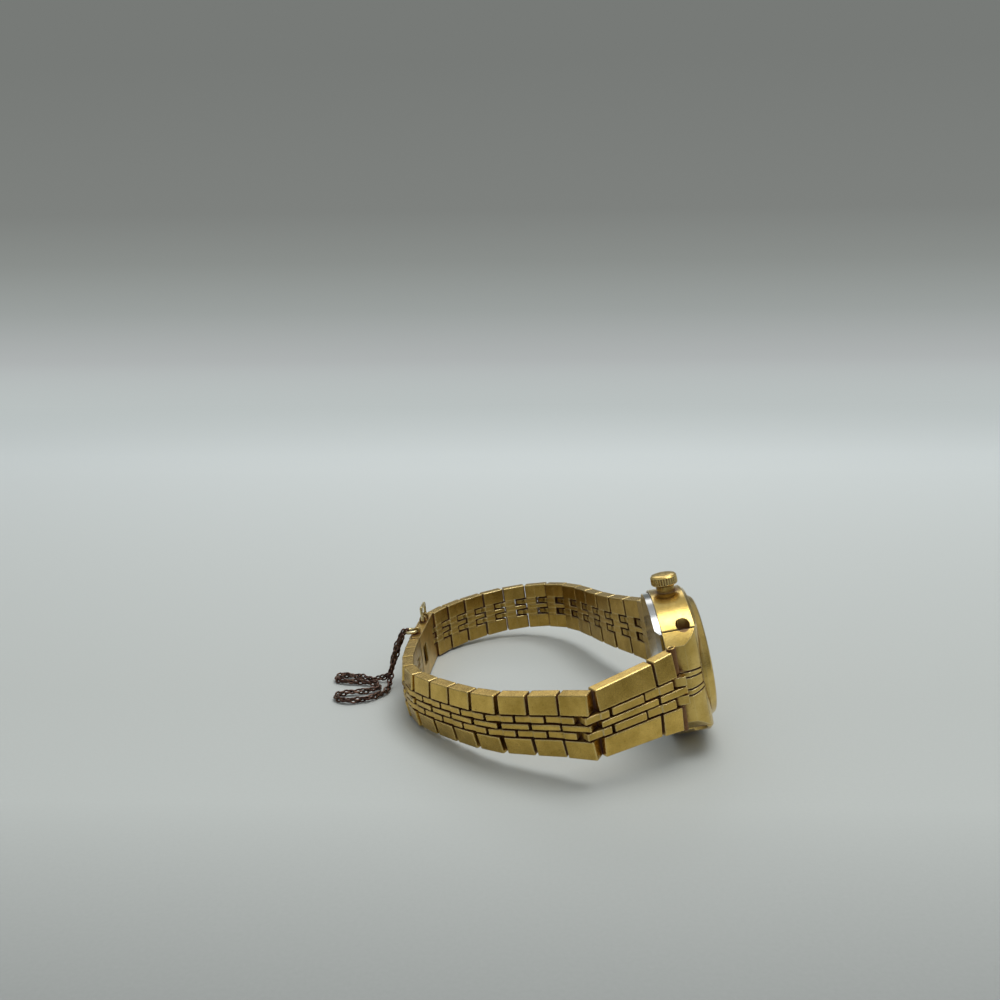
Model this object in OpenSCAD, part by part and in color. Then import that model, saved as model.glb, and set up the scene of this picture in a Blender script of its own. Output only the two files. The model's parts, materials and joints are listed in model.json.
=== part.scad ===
// Bracelet watch, lying on its side with the crown up and the clasp closed.
// Row frame: +X the way the dial faces, +Y away from the 12 o'clock end, +Z up.

/* [Bracelet] */
// Distance between two hinge pins of the bracelet
pitch = 4.4; // [4.3:0.05:4.5]
// Length of the first brick after the 12 o'clock end
brick_a_len = 4.8; // [4.7:0.05:4.9]
// Length of the long brick that follows it
brick_b_len = 9.3; // [9.2:0.05:9.5]
// Open gap between two bricks when the band is straight
brick_gap = 0.35; // [0.35:0.05:0.5]
// Width of the band at the clasp
clasp_w = 8; // [7.5:0.25:9]
// Extra width of the band at the case
flare_w = 3.1; // [2.5:0.1:3.6]
// Distance over which the extra width fades
flare_run = 12.5; // [9:0.5:16]
// Height of the outer face above the hinge pins
link_out = 1.35; // [1.3:0.05:1.6]
// Depth of the inner face below the hinge pins
link_in = 0.8; // [0.75:0.05:0.85]
// How much lower the outer face is at the edges of the band
crown_drop = 0.4; // [0.1:0.05:0.6]
// Radius of the hinge pins
pin_r = 0.33; // [0.25:0.01:0.36]
// Running clearance round a hinge pin
pin_clear = 0.07; // [0.04:0.01:0.1]
// Distance of a pin from the near end of its own brick
pin_in = 0.75; // [0.7:0.01:0.8]
// Width of the open groove between two columns of bricks
groove_w = 0.2; // [0.15:0.05:0.25]

/* [Case] */
// Half width of the case, from its middle to the crown side
case_half_w = 10.2; // [10:0.1:10.6]
// Half length of the case body, up to the end links
case_half_l = 9; // [8.9:0.05:9.2]
// Height of the case front above the hinge pins
case_front = 4.5; // [4.3:0.1:5]
// Height of the movement's middle plane above the hinge pins
case_rise = 2; // [1.9:0.05:2.1]
// Distance of the first hinge pin from the middle of the case
hinge_y = 12; // [11.9:0.05:12.2]
// Radius of the hole for the movement
move_r = 6.9; // [6.85:0.05:7]
// Radius of the opening for the dial
dial_r = 7.4; // [7.35:0.05:7.45]
// Outer radius of the bezel
bezel_r = 8.9; // [8.7:0.05:9]
// Thickness of the steel back
back_t = 0.9; // [0.8:0.05:1.2]
// Height of the crystal's top above the bezel seat
crystal_h = 2.1; // [1.9:0.05:2.4]
// Radius of the crown
crown_r = 1.9; // [1.7:0.05:2.1]
// Length of the crown cap
crown_len = 1.5; // [1.3:0.1:1.8]
// Travel of the crown when it is pulled to set the hands
crown_pull = 0.8; // [0.6:0.1:0.9]

/* [Clasp] */
// Length of the clasp from its hinge pin to its cross bar
clasp_len = 13; // [12.8:0.05:13.2]
// Thickness of the sheet metal of the clasp
clasp_sheet = 0.45; // [0.35:0.05:0.5]
// Diameter of the wire of the bail and the jump ring
ring_wire = 0.5; // [0.4:0.05:0.55]
// Radius of the jump ring at the middle of its wire
ring_r = 1; // [0.9:0.05:1.2]

/* [Safety chain] */
// Outer width of the safety chain
chain_w = 1.15; // [0.9:0.05:1.2]

/* [Rest position] */
// Angle by which the case leans to its back
lean = 11; // [10:0.5:12]
// Angle by which the case nods to its 12 o'clock end
nod = -1; // [-1.5:0.5:0]

/* [Hidden] */
$fn = 48;
gold = "#a58c4c";
worn_gold = "#8d7840";
steel = "#c9cac6";
brass = "#c8a860";
dark = "#4a382c";
// Rest place of the watch's middle, from the point on the floor under the whole object
stand = [16.905, -11.922, 10.288];
// Rest bend of each hinge, inwards, from the 12 o'clock end to the clasp
near_bend = [61, 0, 55.5, -3.5, 2.5, 12.5, 7.5, 3, 5, 14, 15, 6, 3];
near_twist = [1.2, 1.2, 0.8, 0.3, 0, -0.6, -0.9, -0.8, -0.8, -0.7, -0.6, -0.6, 0];
// Rest bend of each hinge, inwards, from the 6 o'clock end to the clasp's own hinge
far_bend = [16.5, 13.5, 0.5, -4.5, -3, 2, 10, 20.5, 24, 22.5, 17.5, 10.5, 10, 11.5, 26];
far_twist = [-0.2, 0, 0.4, 0.8, 1.1, 1.1, 0.7, 0.2, -0.4, -0.5, -0.6, -0.6, -0.5, -0.2, 0];
near_count = 11;
far_count = 14;

// Bricks: half widths of the columns, as shares of the band's width
col_mid = 0.045;
col_arm = 0.175;
brick_tail = pin_in + brick_gap;
arm_tip = 1.2;
arm_flat = arm_tip - 0.05;
arm_room = 0.2;
knuckle_r = 0.62;
knuckle_step = 1.35;
arm_low = link_in - 0.05;
arm_high = link_out - 0.1;
groove_floor = 0.1;
bore_fit = 0.01;
pin_short = 0.6;
edge_cut = 0.2;
arm_start = arm_tip + arm_room;
bar_r = 0.45;
open_gap = 0.25;

// Case: levels along X, measured from the hinge pins' plane
end_out = hinge_y - 1.1;
flank_sag = case_half_w - (clasp_w + flare_w) / 2;
flank_r = (pow(end_out, 2) + pow(flank_sag, 2)) / (2 * flank_sag);
flank_z = case_half_w - flank_r;
flank_cut = 0.5;
front_r = 4.3;
front_y = case_half_l - 2;
back_x = case_rise - 2.5;
seat_x = case_rise + 2.05;
dial_x = case_rise + 0.8;
dial_t = 0.3;
ledge_r = 6.5;
lip_r = bezel_r - 1.3;
dome_r = bezel_r - 1.2;
flange_r = bezel_r - 1;
glass_fit = 0.05;
ledge_t = 0.5;
end_in = case_half_l + 0.12;
end_inset = 0.1;
back_inset = 0.35;
fan_deep = 0.35;
fan_w = 0.28;
bar_y = case_half_l - 0.9;
bar_x = 2;
spring_r = 0.35;
tongue_r = 0.6;
slot_half = 0.7;
slot_z = 5.6;
slot_y = bar_y - 0.7;
lug_r = 0.95;
lug_at = [bar_x + 0.5, case_half_l - 0.45];
stem_x = case_rise - 0.15;
stem_r = 0.35;
stem_bore = 0.55;
stem_neck_r = 0.25;
neck_len = 0.6;
stem_in = move_r - 0.6 - crown_pull;
tube_r = 1.3;
tube_top = case_half_w + 0.9;
cap_z = tube_top + 0.15;
seal_in = move_r + 0.25;
seal_out = move_r + 0.65;
seal_d = 0.3;

// Movement: place of each wheel in the plane of the plates, as [y, z]
plate_r = move_r - 0.1;
plate_back = case_rise - 0.6;
plate_front = dial_x - ledge_t;
bridge_in = case_rise - 1.95;
bridge_out = case_rise - 2.2;
arbor_r = 0.15;
pivot_clear = 0.04;
wheel_t = 0.15;
centre_x = case_rise - 1.6;
third_x = case_rise - 1;
centre_wheel_r = 2.3;
centre_pinion_r = 0.65;
cannon_r = 0.35;
hour_pipe_r = 0.6;
barrel_r = 2.9;
barrel_at = [2.6, 2.5];
third_wheel_r = 1.7;
third_pinion_r = 0.31;
third_at = [-2.13, -1.6];
fourth_wheel_r = 1.5;
fourth_pinion_r = 0.22;
fourth_at = [-3.91, -0.76];
escape_wheel_r = 0.95;
escape_at = [-4.22, 0.96];
fork_at = [-3.05, 2];
balance_r = 1.9;
balance_at = [-1.6, 4.2];
balance_x = case_rise - 1.75;
minute_at = [1.2, -1.6];
cock_at = [-4.1, 4.6];
pillars = [[5.9, -0.6], [0.5, -5.3], [-5.3, -3.2]];
pillar_r = 0.45;
screw_r = 0.2;
screw_head_r = 0.36;
screw_len = 1;
hour_hand_x = dial_x + 0.75;
minute_hand_x = dial_x + 1.05;
hand_t = 0.12;

// Clasp: along x from its hinge pin, y outwards, z across
clasp_out = link_out;
clasp_half = clasp_w / 2;
block_end = 0.7;
cover_open = 65;
cover_pin = [2, 0.2];
cover_pin_r = 0.28;
cover_base = 0.7;
wall_top = cover_base - 0.1;
heel_gap = 0.1;
cover_start = heel_x(clasp_out);
cover_end = clasp_len + 0.3;
ear_w = 0.55;
bail_x = [2.4, 4.4];
bail_y = 0;
bail_rise = 2.1;
lug_t = 0.5;
lug_wall = 0.3;
ring_x = 11.05;
ring_y = 0;
lug_clear = 0.06;
top_gap = 0.5;

// Route of the safety chain over the floor, as [x, y, height] from under the watch's middle
chain_route = [
  [-41, 18.7, 7.9], [-41.5, 18.6, 6.2], [-42.4, 18.3, 3.6], [-43.3, 17.8, 1.4],
  [-45.2, 17.6, 0.6], [-48, 18.4, 0.6], [-50.6, 19.2, 0.6], [-52.2, 18.6, 0.6],
  [-52, 17, 0.6], [-50, 16.4, 0.6], [-47.6, 16, 0.6], [-45.4, 15.4, 0.6],
  [-44.4, 14, 0.6], [-45.6, 12.4, 0.6], [-48, 11.6, 0.6], [-50.2, 10.8, 0.6],
  [-50.4, 9, 0.6], [-48.4, 8, 0.6], [-46, 8.6, 0.6], [-44, 10.4, 0.6],
  [-42.9, 12.6, 0.6], [-42.7, 14.6, 1.2], [-42.6, 16, 3], [-42.2, 17, 5.2], [-41.6, 17.4, 7.4]
];

// Width of the band at a distance from the end links
function band_w(s) = clasp_w + flare_w * exp(-max(s, -2) / flare_run);
// Where the cover's back edge must start at a height, to clear the walls when it stands open
function heel_x(y) = cover_pin[0] + (wall_top + heel_gap - cover_pin[1]
  - (y - cover_pin[1]) * cos(cover_open)) / sin(cover_open);
function near_len(i) = i == 0 ? brick_a_len : i == 1 ? brick_b_len : pitch;
function near_s(i) = i == 0 ? 0 : near_s(i - 1) + near_len(i - 1);

// The watch's own frame: X out of the dial, -Y to 12 o'clock, +Z to the crown
module lie() translate(stand) rotate([nod, -lean, 0]) children();

// One hinge: the next brick is bent inwards and turned a little about its length
module turn(bend, twist) rotate([twist, 0, -bend]) children();

// Frame of each brick: its near pin at the origin, x along the band, y outwards
module near_at(i) {
  if (i == 0)
    lie() translate([0, -hinge_y, 0]) rotate([0, 0, -90])
      turn(near_bend[0], -near_twist[0]) children();
  else
    near_at(i - 1) translate([near_len(i - 1), 0, 0])
      turn(near_bend[i], -near_twist[i]) children();
}

module far_at(i) {
  if (i == 0)
    lie() translate([0, hinge_y, 0]) rotate([180, 0, 90])
      turn(far_bend[0], far_twist[0]) children();
  else
    far_at(i - 1) translate([pitch, 0, 0]) turn(far_bend[i], far_twist[i]) children();
}

module clasp_at() far_at(far_count) children();

// A flat outline in x and z, given thickness from y0 to y1
module upright(y0, y1) translate([0, y1, 0]) rotate([90, 0, 0]) linear_extrude(y1 - y0) children();

// A flat outline in y and z, given thickness from x0 to x1
module slab(x0, x1) translate([x0, 0, 0]) rotate([90, 0, 90]) linear_extrude(x1 - x0) children();

// A flat outline in x and y, given thickness over z0 to z1
module across(z0, z1) translate([0, 0, z0]) linear_extrude(z1 - z0) children();

// A round disc about an axis along X at a place [y, z]
module disc(r, x0, x1, at = [0, 0])
  translate([x0, at[0], at[1]]) rotate([0, 90, 0]) cylinder(r = r, h = x1 - x0);

// A round pin about an axis along Z at a place [x, y]
module post(r, z0, z1, at = [0, 0]) translate([at[0], at[1], z0]) cylinder(r = r, h = z1 - z0);

module both_sides() {
  children();
  mirror([0, 0, 1]) children();
}

// Width of one brick at x, with straight sides from its near end to the tips of its arms
function brick_w(s, len, x) =
  let (w0 = band_w(s - pin_in), w1 = band_w(s + len + arm_tip))
  w0 + (w1 - w0) * (x + pin_in) / (len + arm_tip + pin_in);

// Edges of the brick columns for a width of the band
function mid_edge(w) = col_mid * w;
function arm_in(w) = col_mid * w + groove_w;
function arm_out(w) = col_arm * w;
function side_in(w) = col_arm * w + groove_w;

// A strip of a brick in x and z, between two edges given for its widths at x0 and x1
module strip(x0, x1, inner, outer)
  polygon([[x0, inner[0]], [x1, inner[1]], [x1, outer[1]], [x0, outer[0]]]);

// The gap between the middle and the side columns
module arm_gap(s, len, x0, x1) {
  w0 = brick_w(s, len, x0);
  w1 = brick_w(s, len, x1);
  strip(x0, x1, [mid_edge(w0), mid_edge(w1)], [side_in(w0), side_in(w1)]);
}

// The two narrow grooves beside an arm
module grooves(s, len, x0, x1) {
  w0 = brick_w(s, len, x0);
  w1 = brick_w(s, len, x1);
  strip(x0, x1, [mid_edge(w0), mid_edge(w1)], [arm_in(w0), arm_in(w1)]);
  strip(x0, x1, [arm_out(w0), arm_out(w1)], [side_in(w0), side_in(w1)]);
}

// The solid of one brick before its grooves: tapered, crowned and with eased inner edges
module brick_blank(s, len, tail) {
  wide = brick_w(s, len, -pin_in) / 2;
  top = side_in(2 * wide);
  slope = crown_drop / (wide - top);
  x0 = -2 * pin_in;
  w0 = brick_w(s, len, x0);
  w1 = brick_w(s, len, len);
  intersection() {
    upright(-2 * link_in, 2 * link_out)
      polygon([[x0, w0 / 2], [len, w1 / 2], [len, -w1 / 2], [x0, -w0 / 2]]);
    across(-wide - 1, wide + 1)
      polygon([
        [-pin_in, link_out - edge_cut / 2], [-pin_in + edge_cut / 2, link_out],
        [tail - edge_cut / 2, link_out], [tail, link_out - edge_cut / 2],
        [tail, edge_cut - link_in], [tail - edge_cut, -link_in],
        [edge_cut - pin_in, -link_in], [-pin_in, edge_cut - link_in]
      ]);
    slab(x0, len)
      polygon([
        [-2 * link_in, -wide - 1], [-2 * link_in, wide + 1],
        [link_out - crown_drop - slope, wide + 1], [link_out + slope * top, 0],
        [link_out - crown_drop - slope, -wide - 1]
      ]);
  }
}

// Two arms that reach over the next pin, with square or round outer corners
module arms(s, start, len, flat_tip = true)
  both_sides() difference() {
    intersection() {
      across(0, clasp_w) intersection() {
        union() {
          translate([len, 0]) circle(arm_tip);
          if (flat_tip) translate([len - 0.1, 0]) square([arm_flat + 0.1, link_out]);
          translate([start, -link_out]) square([len - start, 2 * link_out]);
        }
        translate([start, -arm_low]) square([len + arm_tip - start, arm_low + arm_high]);
      }
      upright(-link_out, link_out)
        strip(start, len + arm_tip,
          [for (x = [start, len + arm_tip]) arm_in(brick_w(s, len, x)) + bore_fit],
          [for (x = [start, len + arm_tip]) arm_out(brick_w(s, len, x)) - bore_fit]);
    }
    post(pin_r + pin_clear, 0, clasp_w, [len, 0]);
  }

// One brick with its pin; the last one has no arms, and the first shows its pin's barrel
module brick(s, len, armed = true, split = 0, flat_tip = true, step = 0) {
  tail = armed ? len - brick_tail : len - bar_r - open_gap;
  half_pin = band_w(s) / 2 - pin_short;
  difference() {
    union() {
      brick_blank(s, len, tail);
      if (armed) arms(s, tail - 0.3, len, flat_tip);
    }
    both_sides() upright(-link_out, 2 * link_out) arm_gap(s, len, -2 * pin_in, arm_start);
    both_sides() upright(groove_floor, 2 * link_out) grooves(s, len, arm_start - 0.1, len + arm_tip);
    if (split > 0)
      both_sides() upright(-groove_floor, 2 * link_out) arm_gap(s, len, split, split + 0.45);
    post(pin_r + bore_fit, -half_pin - bore_fit, half_pin + bore_fit);
    if (step > 0) both_sides() {
      post(pin_r, half_pin, band_w(s));
      difference() {
        translate([-2 * pin_in, 0, mid_edge(band_w(s)) + groove_w])
          cube([pin_in + step, 2 * link_out, clasp_w]);
        post(knuckle_r, 0, 2 * clasp_w);
      }
    }
  }
  post(pin_r, -half_pin, half_pin);
}

module brick_a() color(gold) near_at(0) brick(0, brick_a_len, step = knuckle_step);

module brick_b() color(gold) near_at(1) brick(near_s(1), brick_b_len, split = brick_b_len - 2.9);

module near_link(i) {
  at = i + 1;
  slot_w = 1.3;
  slot_d = 0.3;
  color(gold) near_at(at) difference() {
    brick(near_s(at), pitch, armed = i < near_count);
    if (i == near_count - 2)
      translate([0.6, -0.1, band_w(near_s(at)) / 2 - slot_d]) cube([slot_w, slot_d, 1]);
  }
}

module far_link(i) color(gold) far_at(i - 1)
  brick((i - 1) * pitch, pitch, flat_tip = i < far_count);

// The curved outline of the case front, seen along Z, or a copy of it below the surface
module front_outline(half, deep = 0) {
  lift = case_front - front_r;
  translate([back_x, -half]) square([lift - back_x, 2 * half]);
  translate([back_x, -front_y]) square([case_front - deep - back_x, 2 * front_y]);
  intersection() {
    translate([back_x, -half]) square([case_front + 1, 2 * half]);
    for (side = [-1, 1]) translate([lift, side * front_y]) circle(front_r - deep, $fn = 96);
  }
}

// A case slice whose two flanks are arcs, with the front edge cut away
module flanks(x0, x1, inset = 0, cut = 0)
  intersection_for (side = [-1, 1])
    translate([x0, 0, side * flank_z]) rotate([0, 90, 0]) rotate_extrude($fn = 120)
      polygon([
        [0, 0], [flank_r - inset, 0], [flank_r - inset, x1 - x0 - cut],
        [flank_r - inset - 2 * cut, x1 - x0 + cut], [0, x1 - x0 + cut]
      ]);

module case_body() color(gold) lie() difference() {
  union() {
    intersection() {
      flanks(back_x - 1, case_front, 0, flank_cut);
      across(-case_half_w - 1, case_half_w + 1) front_outline(case_half_l);
    }
    post(tube_r, case_half_w - 1, tube_top, [stem_x, 0]);
  }
  disc(move_r, back_x - 1, dial_x - ledge_t);
  disc(ledge_r, back_x - 1, case_front + 1);
  disc(dial_r + 0.05, dial_x, case_front + 1);
  disc(bezel_r + glass_fit, seat_x, case_front + 1);
  difference() {
    disc(seal_out, back_x - 1, back_x + seal_d);
    disc(seal_in, back_x - 2, back_x + 1);
  }
  post(stem_bore, 0, tube_top + 1, [stem_x, 0]);
  for (side = [0, 1]) mirror([0, side, 0]) {
    translate([bar_x - slot_half, slot_y, -slot_z])
      cube([2 * slot_half, case_half_l + 1 - slot_y, 2 * slot_z]);
    post(spring_r + bore_fit, -case_half_w, case_half_w, [bar_x, bar_y]);
    both_sides() post(lug_r, slot_z + 1, case_half_w, lug_at);
  }
}

// Grooves that fan over the end link and run out in points
module fan(side)
  for (k = [-2, -1, 1, 2]) {
    z0 = k * 0.085 * band_w(0);
    z1 = k * 0.05 * band_w(0);
    translate([case_front - 4, 0, 0]) slab(0, 5)
      polygon([
        [side * (end_out + 1), z0 - fan_w / 2], [side * (end_out + 1), z0 + fan_w / 2],
        [side * (end_in - 1.4), z1 + 0.1], [side * (end_in - 1.4), z1 - 0.1]
      ]);
  }

// One end link: it carries on the case's outline and holds the first brick's pin
module end_link(side) {
  half = slot_z - 0.1;
  difference() {
    union() {
      intersection() {
        flanks(back_x - 1, case_front, end_inset, flank_cut);
        across(-case_half_w, case_half_w) front_outline(end_out);
        slab(back_x - 1, case_front + 1)
          translate([side > 0 ? end_in : -end_out - 1, -case_half_w - 1])
            square([end_out - end_in + 1, 2 * case_half_w + 2]);
      }
      post(tongue_r, -half, half, [bar_x, side * bar_y]);
      translate([bar_x - tongue_r, side > 0 ? bar_y : -end_in - 0.2, -half])
        cube([2 * tongue_r, end_in + 0.2 - bar_y, 2 * half]);
      translate([0, side * hinge_y, 0]) rotate([side > 0 ? 180 : 0, 0, side * 90])
        arms(0, end_out - hinge_y - 0.5, 0);
    }
    post(spring_r + bore_fit, -case_half_w, case_half_w, [bar_x, side * bar_y]);
    disc(bezel_r + glass_fit, seat_x, case_front + 1);
    intersection() {
      fan(side);
      across(-case_half_w, case_half_w) difference() {
        translate([0.3, side > 0 ? end_in - 3 : -end_out - 3]) square([5, 6 + end_out - end_in]);
        front_outline(end_out + 3, fan_deep);
      }
    }
  }
}

module end_link_12() color(gold) lie() end_link(-1);

module end_link_6() color(gold) lie() end_link(1);

module spring_bars() color(steel) lie()
  for (side = [-1, 1]) post(spring_r, -slot_z - 1.1, slot_z + 1.1, [bar_x, side * bar_y]);

module bezel() color(gold) lie() translate([seat_x, 0, 0]) rotate([0, 90, 0]) rotate_extrude($fn = 96)
  polygon([
    [lip_r, 0], [bezel_r, 0], [bezel_r, 0.55], [bezel_r - 0.5, 1.3], [bezel_r - 0.8, 1.5],
    [dome_r + glass_fit, 1.5], [dome_r + glass_fit, 1.15], [flange_r + glass_fit, 1.1],
    [flange_r + glass_fit, 0.35], [lip_r, 0.35]
  ]);

module crystal() color("#e8eef0") lie() {
  bed = 0.37;
  shoulder = 1.4;
  sphere_r = (dome_r * dome_r + pow(crystal_h - shoulder, 2)) / (2 * (crystal_h - shoulder));
  translate([seat_x + bed, 0, 0]) rotate([0, 90, 0]) rotate_extrude($fn = 96)
    difference() {
      union() {
        square([flange_r, 0.7]);
        square([dome_r, shoulder - bed]);
        intersection() {
          translate([0, crystal_h - bed - sphere_r]) circle(sphere_r, $fn = 240);
          square([dome_r, crystal_h]);
        }
      }
      translate([-2 * flange_r, -1]) square([2 * flange_r, 2 * flange_r]);
    }
}

module dial() color("#d9c48a") lie() {
  baton_r = 6.1;
  baton_len = 1.1;
  difference() {
    disc(dial_r, dial_x, dial_x + dial_t);
    disc(0.75, dial_x - 1, dial_x + 2);
  }
  for (h = [0 : 11]) rotate([h * 30, 0, 0])
    translate([dial_x + dial_t, -0.12, baton_r - baton_len / 2]) cube([0.08, 0.24, baton_len]);
}

module caseback() color(steel) lie() intersection() {
  flanks(back_x - back_t, back_x, back_inset);
  translate([0, 0, -case_half_w]) linear_extrude(2 * case_half_w)
    polygon([
      [back_x, -case_half_l], [back_x, case_half_l], [back_x - 0.35, case_half_l],
      [back_x - back_t, case_half_l - 0.6], [back_x - back_t, 0.6 - case_half_l],
      [back_x - 0.35, -case_half_l]
    ]);
}

module gasket() color("#202020") lie() difference() {
  disc(seal_out - 0.05, back_x, back_x + seal_d - 0.05);
  disc(seal_in + 0.05, back_x - 1, back_x + 1);
}

// A cap with a knurled rim and a low dome
module crown() color(gold) lie() translate([stem_x, 0, cap_z]) difference() {
  rotate_extrude()
    polygon([
      [0, 0], [crown_r - 0.15, 0], [crown_r, 0.15], [crown_r, crown_len - 0.3],
      [crown_r - 0.2, crown_len - 0.1], [crown_r - 0.7, crown_len], [0, crown_len + 0.05]
    ]);
  for (k = [0 : 29]) rotate([0, 0, k * 12]) translate([crown_r, 0, 0.2])
    rotate([0, 0, 45]) translate([-0.09, -0.09, 0]) cube([0.18, 0.18, crown_len - 0.55]);
  translate([0, 0, -1]) cylinder(r = stem_r + bore_fit, h = 1.6);
}

module stem() color(steel) lie() {
  neck_z = stem_in + 0.5;
  post(stem_r, stem_in, neck_z, [stem_x, 0]);
  post(stem_neck_r, neck_z, neck_z + neck_len, [stem_x, 0]);
  post(stem_r, neck_z + neck_len, cap_z + 0.6, [stem_x, 0]);
}

module stem_detent() color(brass) lie() difference() {
  post(stem_bore - 0.05, stem_in + 0.55, stem_in + 0.45 + neck_len, [stem_x, 0]);
  post(stem_neck_r + 0.02, 0, tube_top, [stem_x, 0]);
}

// A flat hand with a round hub; angle 0 points to 12 o'clock
module hand(x0, hub_r, bore_r, reach, half, angle) rotate([angle, 0, 0]) difference() {
  tip = 0.06;
  slab(x0, x0 + hand_t) {
    circle(hub_r);
    polygon([
      [0.18 * reach, 0.8 * half], [0, half], [-0.65 * reach, 0.8 * half], [-reach, tip],
      [-reach, -tip], [-0.65 * reach, -0.8 * half], [0, -half], [0.18 * reach, -0.8 * half]
    ]);
  }
  disc(bore_r, x0 - 1, x0 + 1);
}

module hour_hand() color(gold) lie() hand(hour_hand_x, 0.95, hour_pipe_r + bore_fit, 3.7, 0.32, 55.5);

module minute_hand() color(gold) lie() hand(minute_hand_x, 0.75, cannon_r + bore_fit, 5.6, 0.24, -54);

// A spur wheel whose teeth stop at the tip radius
module wheel(r, teeth, x0, x1, at, bore = 0, deep = 0.18) {
  slab(x0, x1) translate(at) difference() {
    polygon([for (i = [0 : teeth - 1], k = [0 : 3])
      let (a = 360 * (i + [0, 0.2, 0.5, 0.7][k]) / teeth, q = k == 0 || k == 3 ? r - deep : r)
      [q * cos(a), q * sin(a)]]);
    if (bore > 0) circle(bore);
  }
}

// Openings between the arms of a wheel
module spokes(r_in, r_out, count, x0, x1, at) slab(x0, x1) translate(at)
  for (i = [0 : count - 1]) rotate(i * 360 / count) difference() {
    half_arm = 12;
    next = 360 / count - half_arm;
    far = 3 * r_out;
    intersection() {
      circle(r_out);
      polygon([[0, 0], far * [cos(half_arm), sin(half_arm)], far * [cos(next), sin(next)]]);
    }
    circle(r_in);
  }

module mainplate() color(brass) lie() difference() {
  disc(plate_r, plate_back, plate_front);
  translate([plate_back - 1, -1, stem_in - 0.2]) cube([3, 2, 3]);
  disc(cannon_r + pivot_clear, plate_back - 1, plate_front + 1);
  for (p = [barrel_at, third_at, fourth_at, escape_at, fork_at, balance_at])
    disc(arbor_r + pivot_clear, plate_back - 1, plate_back + 0.4, p);
  disc(arbor_r + pivot_clear, plate_front - 0.4, plate_front + 1, minute_at);
}

// Three-quarter plate over the train, cut away round the balance and the stem
module train_bridge() color(brass) lie() difference() {
  union() {
    slab(bridge_out, bridge_in) difference() {
      circle(plate_r - 0.2);
      translate(balance_at) circle(balance_r + 0.5);
      translate(cock_at) circle(1.1);
      translate([-1.2, stem_in - 0.4]) square([2.4, 3]);
      translate([-7, 3.2]) square([4.6, 4]);
      translate([-0.4, 4.6]) square([7, 3]);
    }
    for (p = pillars) disc(pillar_r, bridge_in - 0.05, plate_back, p);
  }
  for (p = pillars) disc(screw_r + bore_fit, bridge_out - 1, bridge_out + screw_len, p);
  for (p = [barrel_at, [0, 0], third_at, fourth_at, escape_at, fork_at])
    disc(arbor_r + pivot_clear, bridge_out - 1, bridge_in + 1, p);
}

module balance_cock() color(brass) lie() difference() {
  union() {
    slab(bridge_out, bridge_in) {
      translate(cock_at) circle(0.5);
      translate(balance_at) circle(0.55);
      polygon([
        cock_at + [-0.1, 0.4], balance_at + [-0.1, 0.45],
        balance_at + [0, -0.45], cock_at + [0, -0.45]
      ]);
    }
    disc(pillar_r, bridge_in - 0.05, plate_back, cock_at);
  }
  disc(screw_r + bore_fit, bridge_out - 1, bridge_out + screw_len, cock_at);
  disc(arbor_r + pivot_clear, bridge_out - 1, bridge_in + 1, balance_at);
}

module bridge_screws() color("#6a7488") lie()
  for (p = concat(pillars, [cock_at])) difference() {
    union() {
      disc(screw_head_r, bridge_out - 0.2, bridge_out, p);
      disc(screw_r, bridge_out - 0.05, bridge_out + screw_len - 0.02, p);
    }
    translate([bridge_out - 0.3, p[0] - 0.5, p[1] - 0.05]) cube([0.2, 1, 0.1]);
  }

module arbor(at, x0, x1, r = arbor_r) disc(r, x0, x1, at);

module barrel() color(brass) lie() difference() {
  union() {
    wheel(barrel_r, 60, case_rise - 1.3, case_rise - 1.1, barrel_at);
    disc(barrel_r - 0.25, case_rise - 1.25, case_rise - 0.65, barrel_at);
    arbor(barrel_at, bridge_out + 0.05, plate_back + 0.35);
  }
  difference() {
    disc(barrel_r - 0.45, case_rise - 1.4, case_rise - 0.8, barrel_at);
    disc(0.5, case_rise - 2, case_rise, barrel_at);
  }
}

module centre_wheel() color(brass) lie() {
  difference() {
    wheel(centre_wheel_r, 48, centre_x, centre_x + wheel_t, [0, 0]);
    spokes(0.8, centre_wheel_r - 0.45, 4, centre_x - 1, centre_x + 1, [0, 0]);
  }
  wheel(centre_pinion_r, 10, centre_x + wheel_t - 0.02, third_x + 0.1, [0, 0], deep = 0.14);
  arbor([0, 0], bridge_out + 0.05, centre_x + 0.1);
  disc(cannon_r, third_x, minute_hand_x + hand_t + 0.1);
  wheel(0.6, 8, plate_front + 0.05, plate_front + 0.2, [0, 0], deep = 0.14);
}

module train_wheel(at, r, teeth, pinion_r, wheel_x, pinion_x) {
  difference() {
    wheel(r, teeth, wheel_x, wheel_x + wheel_t, at);
    spokes(0.45, r - 0.4, 4, wheel_x - 1, wheel_x + 1, at);
  }
  wheel(pinion_r, 7, pinion_x, pinion_x + 0.25, at, deep = 0.08);
  arbor(at, bridge_out + 0.05, plate_back + 0.35, arbor_r);
}

module third_wheel() color(brass) lie()
  train_wheel(third_at, third_wheel_r, 36, third_pinion_r, third_x, centre_x - 0.05);

module fourth_wheel() color(brass) lie()
  train_wheel(fourth_at, fourth_wheel_r, 32, fourth_pinion_r, centre_x, third_x - 0.05);

module escape_wheel() color(steel) lie()
  train_wheel(escape_at, escape_wheel_r, 15, 0.2, third_x, centre_x - 0.05);

// Lever between the escape wheel and the balance
module pallet_fork() color(steel) lie() {
  reach = balance_at - fork_at;
  aim = atan2(reach[1], reach[0]);
  slab(third_x, third_x + wheel_t) translate(fork_at) rotate(aim) {
    circle(0.3);
    translate([0, -0.09]) square([2.05, 0.18]);
    translate([-0.09, -0.75]) square([0.2, 1.5]);
    translate([-0.3, 0.55]) square([0.3, 0.2]);
    translate([-0.3, -0.75]) square([0.3, 0.2]);
  }
  arbor(fork_at, bridge_out + 0.05, plate_back + 0.35);
}

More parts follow.
